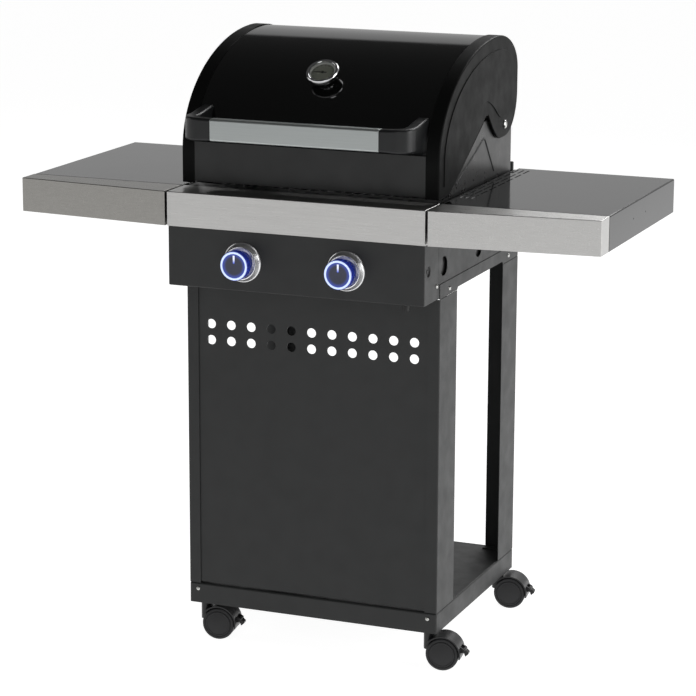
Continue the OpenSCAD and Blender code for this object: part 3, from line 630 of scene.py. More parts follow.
# %% [markdown]
# ## Geometry Nodes for what repeats
# Slots, vent holes, grate bars, wires, screws and dial marks are all one small shape set out by a rule.
# A Geometry Nodes tree says that rule once, with named sizes. The alternative, a Python loop that adds
# vertices, would work too, but a tree can be opened and retuned by hand. Each result is made real with
# Realize Instances, gets its finish, and is then turned into a plain mesh.

# %% A short way to write geometry trees
SOCKETS = {int: "NodeSocketInt", float: "NodeSocketFloat", Vector: "NodeSocketVector"}


class Tree:
    """A Geometry Nodes tree under construction; its named inputs are the sizes of what it makes."""

    def __init__(self, name, **inputs):
        self.group = bpy.data.node_groups.new(name, "GeometryNodeTree")
        self.ids = {}
        self.group.interface.new_socket("Points", in_out="INPUT", socket_type="NodeSocketGeometry")
        for title, value in inputs.items():
            kind = SOCKETS.get(type(value)) or {"Tool": "NodeSocketObject"}[title]
            socket = self.group.interface.new_socket(title, in_out="INPUT", socket_type=kind)
            self.ids[title] = socket.identifier
        finish = self.group.interface.new_socket("Finish", in_out="INPUT", socket_type="NodeSocketMaterial")
        self.ids["Finish"] = finish.identifier
        self.group.interface.new_socket("Geometry", in_out="OUTPUT", socket_type="NodeSocketGeometry")
        self.defaults = inputs
        self.given = self.add("NodeGroupInput")

    def add(self, kind, inputs=None, **settings):
        return add_node(self.group, kind, inputs, **settings)

    def size(self, title):
        return self.given.outputs[title]

    def math(self, operation, first, second=0.0):
        return self.add("ShaderNodeMath", {0: first, 1: second}, operation=operation).outputs[0]

    def vector(self, x=0.0, y=0.0, z=0.0):
        return self.add("ShaderNodeCombineXYZ", {0: x, 1: y, 2: z}).outputs[0]

    def end(self, geometry):
        real = self.add("GeometryNodeRealizeInstances", {"Geometry": geometry})
        painted = self.add("GeometryNodeSetMaterial", {"Geometry": real, "Material": self.size("Finish")})
        self.add("NodeGroupOutput", {0: painted})
        return self

    def make(self, name, finish, carrier=None, matrix=Matrix(), **sizes):
        """Runs the tree once with these sizes and gives the result as a plain mesh object."""
        obj = object_from(name, carrier or bpy.data.meshes.new(name))
        modifier = obj.modifiers.new("tree", "NODES")
        modifier.node_group = self.group
        for title, value in {**self.defaults, **sizes, "Finish": finish}.items():
            modifier[self.ids[title]] = value
        settle(obj)
        obj.data.transform(matrix)
        shade(obj.data)
        return obj


def prism(tree, width, length, depth, corner):
    """A rounded rectangle extruded along Z, as geometry nodes."""
    outline = tree.add("GeometryNodeCurvePrimitiveQuadrilateral", {"Width": width, "Height": length})
    eased = tree.add("GeometryNodeFilletCurve", {"Curve": outline, "Count": 8, "Radius": corner}, mode="POLY")
    up = tree.add("GeometryNodeCurvePrimitiveLine", {"End": tree.vector(z=depth)})
    return tree.add("GeometryNodeCurveToMesh", {"Curve": up, "Profile Curve": eased, "Fill Caps": True})


punches = Tree("punches", Columns=1, Rows=1, Pitch_X=0.01, Pitch_Y=0.01, Width=0.01, Length=0.01, Depth=0.01,
               Corner=0.001)


def spread(pitch, count):
    """The whole width of a row of points, from the first to the last."""
    gaps = punches.math("SUBTRACT", punches.size(count), 1.0)
    return punches.math("MULTIPLY", punches.size(pitch), gaps)


lattice = punches.add("GeometryNodeMeshGrid", {
    "Size X": spread("Pitch_X", "Columns"), "Size Y": spread("Pitch_Y", "Rows"),
    "Vertices X": punches.size("Columns"), "Vertices Y": punches.size("Rows")})
one_punch = prism(punches, *[punches.size(title) for title in ("Width", "Length", "Depth", "Corner")])
punches.end(punches.add("GeometryNodeInstanceOnPoints", {"Points": lattice, "Instance": one_punch}))

bars = Tree("bars", Count=2, Pitch=0.01, Length=0.1, Width=0.005, Height=0.005, Corner=0.001)
step = bars.vector(x=bars.size("Pitch"))
row = bars.add("GeometryNodeMeshLine", {"Count": bars.size("Count"), "Offset": step})
one_bar = prism(bars, *[bars.size(title) for title in ("Width", "Height", "Length", "Corner")])
lying = bars.add("GeometryNodeTransform", {"Geometry": one_bar, "Rotation": (-math.pi/2, 0, 0)})
bars.end(bars.add("GeometryNodeInstanceOnPoints", {"Points": row, "Instance": lying}))

marks = Tree("marks", Count=12, Radius=0.02, Length=0.003, Width=0.0006, Depth=0.0003, Start=0.0,
             Sweep=math.tau)
stack = marks.add("GeometryNodeMeshLine", {"Count": marks.size("Count"), "Offset": (0, 0, 0)})
dash_size = marks.vector(*[marks.size(title) for title in ("Length", "Width", "Depth")])
dash = marks.add("GeometryNodeMeshCube", {"Size": dash_size})
to_ring = marks.vector(marks.size("Radius"))
on_ring = marks.add("GeometryNodeTransform", {"Geometry": dash, "Translation": to_ring})
share = marks.math("DIVIDE", marks.add("GeometryNodeInputIndex").outputs[0],
                   marks.math("SUBTRACT", marks.size("Count"), 1.0))
angle = marks.math("ADD", marks.math("MULTIPLY", share, marks.size("Sweep")), marks.size("Start"))
marks.end(marks.add("GeometryNodeInstanceOnPoints", {"Points": stack, "Instance": on_ring,
                                                     "Rotation": marks.vector(z=angle)}))

fixings = Tree("fixings", Tool=None)
facing = fixings.add("GeometryNodeInputNamedAttribute", {"Name": "facing"}, data_type="FLOAT_VECTOR")
aligned = fixings.add("FunctionNodeAlignRotationToVector", {"Vector": facing}, axis="Z")
screw_shape = fixings.add("GeometryNodeObjectInfo", {"Object": fixings.size("Tool")})
fixings.end(fixings.add("GeometryNodeInstanceOnPoints", {"Points": fixings.size("Points"),
                                                         "Instance": screw_shape.outputs["Geometry"],
                                                         "Rotation": aligned}))
print("geometry trees:", [group.name for group in bpy.data.node_groups if group.type == "GEOMETRY"])

# %% [markdown]
# ## The cart
# The cart is 1.5 mm sheet steel, cut flat, punched, folded on a press brake and powder coated. Each part
# is drawn as it would leave the brake: a bare skin with its bends rounded to about twice the gauge. The
# vent holes and slots are punched before bending, so they are clean and square to the sheet.

# %% Base pan, posts and front panel
def mm(*values):
    return tuple(MM*value for value in values)


def spun(name, profile, matrix, steps):
    """A turned part whose (radius, height) profile is given in millimetres."""
    return lathe(name, [mm(*point) for point in profile], matrix, steps)


pan = open_box("pan", PAN_LOW, PAN_HIGH, ("-z",), 4*MM, 1.5*MM)
tip_forward = Matrix.Rotation(math.pi/2, 4, "X")
pan_hole_place = Matrix.Translation((0, PAN_LOW.y + 6*MM, PAN_HIGH.z - 12*MM)) @ tip_forward
pan_holes = punches.make("pan_holes", None, matrix=pan_hole_place, Columns=2, Pitch_X=471*MM, Width=5*MM,
                         Length=5*MM, Corner=2.45*MM, Depth=12*MM)
place(punch(pan, pan_holes), "root", "powder_black", POWDER, "base_pan")

FRAME_GAUGE = 1.5*MM
SHADOW_GAP = 1.2*MM         # left between a post and the rail above it
for end in ("front", "rear"):
    low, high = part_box("post_" + end + "_right")
    corner = (high.x, low.y) if end == "front" else (high.x, high.y)
    inner = (low.x, corner[1])
    back = (high.x, high.y if end == "front" else low.y)
    path = [inner, corner, back] if end == "front" else [back, corner, inner]
    post = folded("post", path, "Z", low.z, high.z - SHADOW_GAP, 3*MM, FRAME_GAUGE)
    foot_y = (low.y, low.y + 30*MM) if end == "front" else (high.y - 30*MM, high.y)
    foot_low = (low.x + 3*MM, foot_y[0] + 1*MM, low.z)
    foot_high = (high.x - 1*MM, foot_y[1] - 1*MM, low.z + 2*MM)
    foot = open_box("foot", foot_low, foot_high, (), 0.6*MM, 0)
    post = joined("post_" + end + "_skin", post, foot)
    place_twins(post, post.name + "_left", "root", "powder_black", POWDER, "post_" + end + "_right")

low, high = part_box("front_panel")
panel = open_box("panel", low, high, ("+y",), 2.2*MM, 1.2*MM)
VENTS, VENT_PITCH, VENT_ROWS, VENT_TOP = 11, 40.8*MM, 31*MM, 83.5*MM
vent_place = Matrix.Translation((0, low.y + 6*MM, high.z - VENT_TOP - VENT_ROWS/2)) @ tip_forward
vent_holes = punches.make("vent_holes", None, matrix=vent_place, Columns=VENTS, Rows=2,
                          Pitch_X=VENT_PITCH, Pitch_Y=VENT_ROWS, Width=18*MM,
                          Length=18*MM, Corner=8.95*MM, Depth=12*MM)
place(punch(panel, vent_holes), "root", "powder_black", POWDER, "front_panel")
print("panel with", 2*VENTS, "vent holes:", MADE["panel"], "faces")

# %% Rails over the posts
for node, radius in (("side_rails", 1.2), ("rear_rails", 2.0), ("caster_sockets", 0.6)):
    place(softened(node, radius*MM), "root", "powder_black", POWDER, node)

# %% [markdown]
# ## Screws
# One dome-headed screw is turned on a lathe, and its recess is pressed. Here it is spun once, with a
# cross recess cut in, and a small carrier mesh holds one point and one direction for each place where
# the cart needs a screw. The tree puts the screw on every point.

# %% One screw and all its places
def screw(radius, height, shank):
    """A dome-headed screw along Z with a cross recess."""
    dome = [(0, height), (0.35*radius, 0.985*height), (0.6*radius, 0.90*height), (0.82*radius, 0.68*height),
            (0.96*radius, 0.34*height), (radius, 0.0), (0.45*radius, 0.0), (0.45*radius, -shank), (0, -shank)]
    body = lathe("screw", dome, steps=20)
    for turn_by in (0, math.pi/2):
        bpy.ops.mesh.primitive_cube_add(size=1)
        slot = bpy.context.object
        size = Matrix.Diagonal((1.05*radius, 0.2*radius, height, 1))
        slot.data.transform(Matrix.Translation((0, 0, height)) @ Matrix.Rotation(turn_by, 4, "Z") @ size)
        punch(body, slot)
    return body


def carrier(spots):
    """A mesh of loose points; each point keeps the direction that its screw faces."""
    mesh = bpy.data.meshes.new("spots")
    mesh.from_pydata([spot for spot, _ in spots], [], [])
    facing = mesh.attributes.new("facing", "FLOAT_VECTOR", "POINT")
    facing.data.foreach_set("vector", sum([way for _, way in spots], ()))
    return mesh


screw_low, screw_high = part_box("cart_screws")
rail_low, rail_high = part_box("side_rails")
cart_x = PAN_HIGH.x
panel_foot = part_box("control_panel")[0].z
spots = []
for side in (-1, 1):
    way = (side, 0, 0)
    spots.append(((side*cart_x, rail_low.y + 51*MM, rail_high.z - 16*MM), way))
    spots.append(((side*cart_x, PAN_HIGH.y - 60*MM, rail_high.z - 16*MM), way))
    spots.append(((side*(screw_high.x - 3.1*MM), screw_low.y + 4*MM, panel_foot + 26*MM), way))
    spots.append(((side*(cart_x - 18*MM), PAN_LOW.y, PAN_HIGH.z - 12*MM), (0, -1, 0)))
one_screw = screw(4.0*MM, 2.3*MM, 6*MM)
cart_screws = fixings.make("screws", ZINC, carrier=carrier(spots), Tool=one_screw)
place(cart_screws, "root", "zinc_steel", ZINC, "cart_screws")
bpy.data.objects.remove(one_screw)
print("screws:", len(spots), "faces:", MADE["screws"])

# %% [markdown]
# ## Casters
# Twin-wheel furniture casters are injection-moulded nylon. Each wheel is a dished disc with a soft tyre
# edge and a raised ring on its face; the fork is one moulding with a hood over both wheels, and a pedal
# brake at its toe. Both wheels are spun as profiles, while the fork and the pedal are eased mouldings.

# %% Wheels, forks and pedals
HALF_WIDTH, WEB, WHEEL_R = 24*MM, 9*MM, 31.5*MM
inner_face = WEB/2 + 0.5*MM
outer_face = HALF_WIDTH - 0.5*MM


def wheel_profile():
    """Half of the twin wheel: hub, inner face, tyre, dished face with a raised ring."""
    r, out = WHEEL_R, outer_face
    tread = [(r - 3*MM, inner_face), (r - 0.9*MM, inner_face + 0.9*MM), (r, inner_face + 3*MM),
             (r, out - 5*MM)]
    shoulder = [(r - 4*MM*(1 - math.cos(a)), out - 5*MM + 3.6*MM*math.sin(a)) for a in (0.4, 0.8, 1.2)]
    face = [(r - 5.2*MM, out - 1.6*MM), (r - 6.0*MM, out - 2.4*MM), (r - 7.0*MM, out - 2.5*MM)]
    ring = [(r - 7.6*MM, out - 1.2*MM), (r - 9.2*MM, out - 0.9*MM)]
    dome = [(r - 10*MM - (r - 12*MM)*k/7, out - 1.5*MM + 1.4*MM*math.sin(math.pi/2*k/7)) for k in range(8)]
    return [(0, inner_face)] + tread + shoulder + face + ring + dome + [(0, out)]


for corner_name in CORNERS:
    roll = JOINTS["wheel_roll_" + corner_name]
    place_at = Matrix.Translation(roll["pos_m"])
    axle = Vector(roll["axis"]).to_track_quat("Z", "X").to_matrix().to_4x4()
    flip = Matrix.Rotation(math.pi, 4, "X")
    halves = [lathe("half", wheel_profile(), place_at @ axle @ way, 96) for way in (Matrix(), flip)]
    hub = lathe("hub", [(0, -inner_face), (3*MM, -inner_face), (3*MM, inner_face), (0, inner_face)],
                place_at @ axle, 24)
    wheel = joined("wheel_" + corner_name + "_moulded", hub, *halves)
    place(wheel, "wheel_" + corner_name, "caster_black", TYRE, "caster_wheel_" + corner_name)
    fork = softened("caster_fork_" + corner_name, 1.1*MM)
    place(fork, "caster_" + corner_name, "caster_black", CASTER, "caster_fork_" + corner_name)
    pedal = softened("brake_lever_" + corner_name, 0.8*MM)
    place(pedal, "brake_" + corner_name, "caster_black", CASTER, "brake_lever_" + corner_name)
print("caster pieces:", 3*len(CORNERS))

# %% [markdown]
# ## Console
# The console is one folded panel, closed at both ends, that hangs under the steel trim. Its knobs are the
# barbecue's only lit parts: a clear blue moulding over LEDs, so the whole body glows and the ring round
# its face is brightest. The pointer is a light pipe that fades from white to blue towards the hub.

# %% Control panel and the clip in its side
low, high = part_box("control_panel")
console = open_box("console", low, high, ("+y", "+z"), 2.4*MM, 1.2*MM)
KNOB_Z = JOINTS["knob_turn_right"]["pos_m"][2]
KNOB_X = JOINTS["knob_turn_right"]["pos_m"][0]
hole_place = Matrix.Translation((0, low.y + 8*MM, KNOB_Z)) @ tip_forward
stem_holes = punches.make("stem_holes", None, matrix=hole_place, Columns=2, Pitch_X=2*KNOB_X, Width=18*MM,
                          Length=18*MM, Corner=8.9*MM, Depth=14*MM)
tip_right = Matrix.Rotation(math.pi/2, 4, "Y")
CLIP_PLACE = Matrix.Translation((high.x, low.y + 20*MM, KNOB_Z + 6.5*MM)) @ tip_right
clip_holes = [punches.make("clip_hole", None, matrix=Matrix.Translation((shift, 0, 0)) @ CLIP_PLACE,
                           Width=22*MM, Length=22*MM, Corner=10.9*MM, Depth=12*MM)
              for shift in (-6*MM, -2*high.x - 6*MM)]
punch(console, stem_holes, *clip_holes)
RAIL_FRONT, RAIL_TOP = rail_low.y - 0.4*MM, rail_high.z
flanges = []
for side in (-1, 1):
    left_x, right_x = sorted((side*high.x, side*(high.x - 1.2*MM)))
    flange_low, flange_high = (left_x, high.y - 1*MM, low.z + 0.4*MM), (right_x, RAIL_FRONT, RAIL_TOP)
    flanges.append(open_box("flange", flange_low, flange_high, (), 0.3*MM, 0))
place(joined("console", console, *flanges), "root", "powder_black", POWDER, "control_panel")

for side_name, side in SIDES.items():
    ring = [(10.9*MM, -1.4*MM), (10.9*MM, -0.4*MM), (9.6*MM, -0.5*MM), (8.6*MM, -2.2*MM), (4.0*MM, -2.6*MM),
            (3.2*MM, -1.2*MM), (0, -1.0*MM), (0, -3.4*MM), (9.6*MM, -3.4*MM)]
    clip = lathe("clip_" + side_name, ring, CLIP_PLACE, 48)
    if side < 0:
        clip.data.transform(Matrix.Scale(-1, 4, (1, 0, 0)))
        clip.data.flip_normals()
    place(clip, "root", "powder_black", SATIN)
print("console faces:", MADE["console"])

# %% Bezels and knobs
def bezel_profile():
    """Chromed cone with a rolled foot and a fine lip round the knob."""
    foot = [(10, 0), (37, 0), (37, 1.6), (36.6, 2.6), (35.8, 3.1)]
    cone = [(35.2, 3.6), (33.6, 6.6), (32.0, 9.6), (30.9, 11.9)]
    lip = [(30.7, 12.7), (30.0, 13.0), (29.0, 12.9), (28.5, 12.2), (28.3, 10.6)]
    well = [(27.6, 9.0), (22.5, 6.4), (21.5, 3.0), (10, 3.0), (10, 0)]
    return foot + cone + lip + well


panel_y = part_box("knob_bezels")[1].y
bezels = []
for side in (-1, 1):
    at = Matrix.Translation((side*KNOB_X, panel_y, KNOB_Z)) @ tip_forward
    bezels.append(spun("bezel", bezel_profile(), at, 96))
place(joined("bezels", *bezels), "root", "chrome", BEZEL_CHROME, "knob_bezels")


def knob_shell(steps=144):
    """The knob's side and rim; the inner edge of its lit ring is scalloped by the finger grooves."""
    r = 27.9
    profile = [(19.8, 24), (19.6, 15.8), (r - 0.6, 14.2), (r, 13.4), (r - 0.1, 9), (r - 0.3, 5),
               (r - 0.6, 2.6), (r - 1.2, 1.2), (r - 2.2, 0.35), (r - 3.4, 0.05), (r - 4.6, 0.1),
               (r - 5.6, 0.9)]
    rings = []
    for radius, depth in profile:
        grooved = 0.28 if 2 < depth < 13 else 0.12
        ring = []
        for i in range(steps):
            a = math.tau*i/steps
            wave = grooved*(1 - abs(math.cos(12*a))) if radius > 22 else 0
            ring.append(((radius - wave)*math.cos(a)*MM, (radius - wave)*math.sin(a)*MM, -depth*MM))
        rings.append(ring)
    return rings


KNOB_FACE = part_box("knob_right")[0].y
for side_name, side in SIDES.items():
    at = Matrix.Translation((side*KNOB_X, KNOB_FACE, KNOB_Z)) @ tip_forward
    rings = knob_shell()
    face_ring = rings[-1]
    inner = [(0.99*x, 0.99*y, -2.4*MM) for x, y, _ in face_ring]
    back = [(0.4*x, 0.4*y, z) for x, y, z in rings[0]]
    shell = loft("knob_" + side_name + "_shell", [back] + rings + [inner], at)
    place(shell, "knob_" + side_name, "knob_blue", KNOB_BODY, "knob_" + side_name)
    face_profile = [(22.6, -2.6), (22.4, -1.35), (21.6, -1.25), (12, -1.5), (3, -1.62), (0, -1.65), (0, -2.6)]
    face = spun("knob_" + side_name + "_face", face_profile, at, 96)
    place(face, "knob_" + side_name, "knob_blue", KNOB_FACE_BLUE)
    pointer_path = rounded([(-1.5, 4.6), (1.5, 4.6), (1.75, 19.4), (-1.75, 19.4)], [1.2, 1.2, 0.5, 0.5], 3)
    layers = [[(x*MM, y*MM, z*MM) for x, y in pointer_path] for z in (-2.4, -0.95)]
    top = [(0.86*x*MM, (12 + 0.97*(y - 12))*MM, -0.75*MM) for x, y in pointer_path]
    pointer = loft("knob_" + side_name + "_pointer", layers + [top], at)
    place(pointer, "knob_" + side_name, "knob_blue", POINTER)
print("knob pieces:", [name for name in MADE if name.startswith("knob")])

# %% [markdown]
# ## Cook box, shelves and trims
# The box is enamelled sheet, hidden behind plates with large holes that keep the shelves cool. The
# shelves are trays turned over: their edges are folded down, so the tops stay flat and stiff. The slots at
# their inner ends and in the ledge let hot air out. The trims are brushed steel folded over the shelves'
# fronts; the side ones are swept back, so the front looks bowed although every face of it is flat.

# %% Plates, cheeks and the slotted ledge
for side_name in SIDES:
    for node, finish, slot_name, radius in (("side_plate_", POWDER, "powder_black", 0.3),
                                            ("cheek_", BOX_ENAMEL, "enamel_black", 0.5)):
        place(softened(node + side_name, radius*MM), "root", slot_name, finish, node + side_name)


def bead(name, path, x, width, height):
    """A pressed bead on a plate that faces +X: a low trapezoid run along a path of (y, z) points."""
    rings = []
    for i, point in enumerate(path):
        before, after = Vector(path[max(0, i - 1)]), Vector(path[min(len(path) - 1, i + 1)])
        along = (after - before).normalized()
        side = Vector((-along.y, along.x))
        ring = []
        for across, up in ((-0.5, -0.3), (-0.25, 1.0), (0.25, 1.0), (0.5, -0.3)):
            y, z = Vector(point) + across*width*side
            ring.append((x + up*height, y, z))
        rings.append(ring)
    return loft(name, rings)


cheek_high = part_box("cheek_right")[1]
leg_path = [(HINGE.y - 255*MM, HINGE.z - 77*MM), (HINGE.y - 112*MM, HINGE.z - 17*MM),
            (HINGE.y - 101*MM, HINGE.z - 12*MM), (HINGE.y - 93*MM, HINGE.z - 20*MM),
            (HINGE.y - 43*MM, HINGE.z - 83*MM)]
brace = bead("brace_right", rounded(leg_path, 7*MM, 5, closed=False), cheek_high.x, 5*MM, 1.2*MM)
place_twins(brace, "brace_left", "root", "enamel_black", POWDER)

low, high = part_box("front_ledge")
ledge_path = [(high.y, high.z), (low.y, high.z), (low.y, low.z)]
ledge = folded("ledge", ledge_path, "X", low.x, high.x, 2.5*MM, 1.5*MM)
ledge_place = Matrix.Translation((0, PAN_LOW.y + 6*MM, high.z - 4*MM))
ledge_slots = punches.make("ledge_slots", None, matrix=ledge_place, Columns=11,
                           Pitch_X=40.7*MM, Width=30*MM, Length=5*MM, Corner=2.4*MM, Depth=8*MM)
place(punch(ledge, ledge_slots), "root", "enamel_black", BOX_ENAMEL, "front_ledge")
print("ledge faces:", MADE["ledge"])

# %% Grates
# Each grate is one iron casting: round-topped bars along the box, tied by three ribs under them.
low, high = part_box("cooking_grates")
grates = []
BARS, RIBS = 13, 3
half = high.x - 1*MM
bar_pitch = (half - 9*MM)/(BARS - 1)
rib_pitch = (high.y - low.y - 10*MM)/(RIBS - 1)
for side in (-1, 1):
    x0 = 5.5*MM if side > 0 else -high.x + 4.5*MM
    # A bar of the tree is centred on its point across and in height, and runs along +Y from it
    at = Matrix.Translation((x0, low.y, high.z - 4.5*MM))
    grates.append(bars.make("bars", None, matrix=at, Count=BARS, Pitch=bar_pitch, Length=high.y - low.y,
                            Width=8*MM, Height=9*MM, Corner=2.6*MM))
    turn_flat = Matrix.Rotation(-math.pi/2, 4, "Z")
    at = Matrix.Translation((x0 - 4*MM, low.y + 5*MM + rib_pitch*(RIBS - 1), low.z + 3.2*MM)) @ turn_flat
    grates.append(bars.make("ribs", None, matrix=at, Count=RIBS, Pitch=rib_pitch,
                            Length=bar_pitch*(BARS - 1) + 8*MM, Width=8*MM, Height=6.4*MM, Corner=1.6*MM))
place(joined("grates", *grates), "root", "grate_iron", GRATE_IRON, "cooking_grates")
print("grate faces:", MADE["grates"])

# %% Tamers, tray and cup
for node, finish, slot_name, radius in (("flame_tamers", BURNER_STEEL, "stainless", 0.5),
                                        ("grease_tray", TRAY_STEEL, "zinc_steel", 0.5),
                                        ("grease_cup", TRAY_STEEL, "zinc_steel", 0.5)):
    body = "grease_drawer" if node.startswith("grease") else "root"
    place(softened(node, radius*MM), body, slot_name, finish, node)

# %% Shelves
low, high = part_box("shelf_right")
SHELF_BEND = 3*MM
shelf = open_box("shelf_right_skin", low, high, ("-z",), SHELF_BEND, 1.5*MM)
slots_at = Matrix.Translation((low.x + 19*MM, PAN_LOW.y + 233*MM, high.z - 8*MM))
shelf_slots = punches.make("shelf_slots", None, matrix=slots_at, Columns=3, Rows=7, Pitch_X=11*MM,
                           Pitch_Y=49*MM, Width=3.2*MM, Length=38*MM, Corner=1.55*MM, Depth=16*MM)
end_place = Matrix.Translation((high.x - 6*MM, PAN_LOW.y + 184.9*MM, low.z + 34*MM)) @ tip_right
end_holes = punches.make("end_holes", None, matrix=end_place, Rows=2, Pitch_Y=80*MM, Width=3*MM, Length=3*MM,
                         Corner=1.45*MM, Depth=12*MM)
punch(shelf, shelf_slots, end_holes)
place_twins(shelf, "shelf_left_skin", "root", "enamel_black", SHELF_ENAMEL, "shelf_right")
print("shelf with 21 slots:", MADE["shelf_right_skin"], "faces")

# %% Trims
low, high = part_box("shelf_trim_right")
SWEEP = 29*MM
back_y = high.y - 0.5*MM
outline = [(low.x, low.y), (high.x, low.y + SWEEP), (high.x, back_y), (low.x, back_y)]
trim = tray("trim_right", outline, (0, 1, 3), low.z, high.z, 1.3*MM, 1.2*MM)
# The left trim takes the darker steel, which paints shade on it
place_twins(trim, "trim_left", "root", "stainless", TRIM_STEEL, "shelf_trim_right", SHADED_TRIM_STEEL)
low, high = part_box("centre_trim")
middle = tray("trim_middle", [(low.x, low.y), (high.x, low.y), (high.x, high.y), (low.x, high.y)], (0, 1, 3),
              low.z, high.z, 1.3*MM, 1.2*MM)
place(middle, "root", "stainless", TRIM_STEEL, "centre_trim")
print("trim faces:", MADE["trim_right"], MADE["trim_middle"])

# %% [markdown]
# ## Lid
# The lid is one sheet rolled to two quarter ellipses: a long one for the front and a tight one for the
# back. Formulas give a fair curve, which a gloss surface needs, because any flat segment would show in the
# reflection. The end caps are pressings that follow the same curve, so their outline comes from the same
# function, moved in by whatever a ring needs.

# %% The lid's outline
LID_FRONT, LID_REAR, LID_TOP, LID_FOOT = CAP_LOW.y, CAP_HIGH.y, CAP_HIGH.z, CAP_LOW.z
CROWN_Y = LID_REAR - 117*MM
FRONT_Z = LID_FOOT + 59.5*MM
FRONT_A, FRONT_B = CROWN_Y - LID_FRONT, LID_TOP - FRONT_Z
REAR_A, REAR_B = LID_REAR - CROWN_Y, 72.5*MM
REAR_Z = LID_TOP - REAR_B
REAR_LOW = HINGE.z + 57.5*MM
CURVE = 56


def lid_line(inset, foot):
    """The lid's outline as (y, z), from the foot of its front over the crown to the foot of its back."""
    line = [(LID_FRONT + inset, foot)]
    for i in range(CURVE + 1):
        a = math.pi/2*i/CURVE
        line.append((CROWN_Y - (FRONT_A - inset)*math.cos(a), FRONT_Z + (FRONT_B - inset)*math.sin(a)))
    for i in range(1, CURVE//2 + 1):
        a = math.pi*i/CURVE
        line.append((CROWN_Y + (REAR_A - inset)*math.sin(a), REAR_Z + (REAR_B - inset)*math.cos(a)))
    return line + [(LID_REAR - inset, REAR_LOW)]


def front_y(inset, z):
    """Where the lid's front stands at a height."""
    if z < FRONT_Z:
        return LID_FRONT + inset
    return CROWN_Y - (FRONT_A - inset)*math.sqrt(1 - ((z - FRONT_Z)/(FRONT_B - inset))**2)


low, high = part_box("lid_shell")
INSET, SHEET = 1.5*MM, 1.2*MM
profile = lid_line(INSET, low.z) + list(reversed(lid_line(INSET + SHEET, low.z)))
shell = loft("shell", [[(x, y, z) for y, z in profile] for x in (low.x, high.x)])
place(shell, "lid", "enamel_black", LID_ENAMEL, "lid_shell")

low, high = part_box("lid_strip")
strip_path = [(low.y + 1.4*MM, high.z), (low.y, high.z), (low.y, low.z), (low.y + 9*MM, low.z)]
strip = folded("strip", strip_path, "X", low.x, high.x, 0.6*MM, 1.2*MM)
place(strip, "lid", "powder_black", STRIP_SATIN, "lid_strip")
print("lid", round(LID_REAR - LID_FRONT, 4), "m deep,", len(profile), "points in its section")

# %% [markdown]
# An end cap is a pressing: a rim that wraps the lid's edge, a rolled corner, a flat side, and a raised
# field whose lower edge dips under the hinge and climbs to the front like a wave. The rings below go from
# the rim's inner edge round the rolled corner; the field is a thin second pressing on the flat.

# %% End caps
APEX = (HINGE.y - 101.5*MM, HINGE.z + 29*MM)
LOBE_A, LOBE_B = LID_REAR - HINGE.y, 81.5*MM
CAP_FOOT_Y = LID_FRONT + 59*MM
ROLL = 3*MM
FIELD_CREST = 1.12          # above this height the raised field keeps to the lid's line


def cap_outline(inset):
    """The cap's closed outline: the lid's line, the hinge lobe, the sweep to the notch, and the foot."""
    line = lid_line(inset, LID_FOOT + inset)
    lobe = [(HINGE.y + (LOBE_A - inset)*math.cos(a), REAR_LOW - (LOBE_B - inset)*math.sin(a))
            for a in [math.pi/2*i/16 for i in range(17)]]
    start = (HINGE.y - 20*MM, REAR_LOW - LOBE_B)
    run, rise = start[0] - APEX[0] - 6*MM, APEX[1] - start[1]
    sweep = []
    for i in range(20):
        share = i/19
        height = start[1] + rise*(1 - math.cos(math.pi/2*share))
        sweep.append((start[0] - run*share, height + inset))
    tip = [(APEX[0] + 1*MM - 0.3*inset, APEX[1] + 0.6*MM + inset),
           (APEX[0] - 6*MM - inset, APEX[1] - 0.6*MM + 0.6*inset)]
    foot = [(CAP_FOOT_Y - inset, LID_FOOT + inset)]
    return line + lobe + sweep + tip + foot, len(line)


def cap_ring(inset, depth, rim_depth):
    """One ring of the cap: the lid's line is drawn deeper than the rest, because it carries the rim."""
    outline, wrapped = cap_outline(inset)
    ring = [(rim_depth, y, z) for y, z in outline[:wrapped]]
    return ring + [(depth, y, z) for y, z in outline[wrapped:]]


def field_contour():
    """The raised field's edge: it follows the lid's line, then waves back under the hinge to the front."""
    line = [(y, z) for y, z in lid_line(26*MM, LID_FOOT + 20*MM) if y < HINGE.y + 30*MM or z > FIELD_CREST]
    wave = [(62, 112), (56, 78), (40, 54), (19, 29), (0, 17.5), (-26, 16.5), (-47, 27.5), (-65, 39.5),
            (-88, 51.5), (-112, 58.0), (-134, 54.5), (-161, 42.5), (-199, 19.5), (-242, -5.5),
            (-278, -31.5), (-312, -58)]
    lower = [(HINGE.y + y*MM, HINGE.z + z*MM) for y, z in wave]
    return line[:-1] + spline(lower, 6)


def spline(points, steps):
    """A smooth curve through the points (Catmull-Rom)."""
    result = []
    for i in range(len(points) - 1):
        p = [Vector(points[max(0, min(len(points) - 1, i + k))]) for k in (-1, 0, 1, 2)]
        for s in range(steps):
            t = s/steps
            result.append(tuple(0.5*(2*p[1] + (p[2] - p[0])*t + (2*p[0] - 5*p[1] + 4*p[2] - p[3])*t**2
                                     + (3*p[1] - p[0] - 3*p[2] + p[3])*t**3)))
    return result + [tuple(points[-1])]


def shrunk(points, distance):
    """A closed outline moved inwards along its corners' bisectors."""
    result = []
    n = len(points)
    for i in range(n):
        before, here, after = (Vector(points[(i + k) % n]) for k in (-1, 0, 1))
        along = (here - before).normalized() + (after - here).normalized()
        along.normalize()
        result.append(tuple(here + distance*Vector((along.y, -along.x))))
    return result


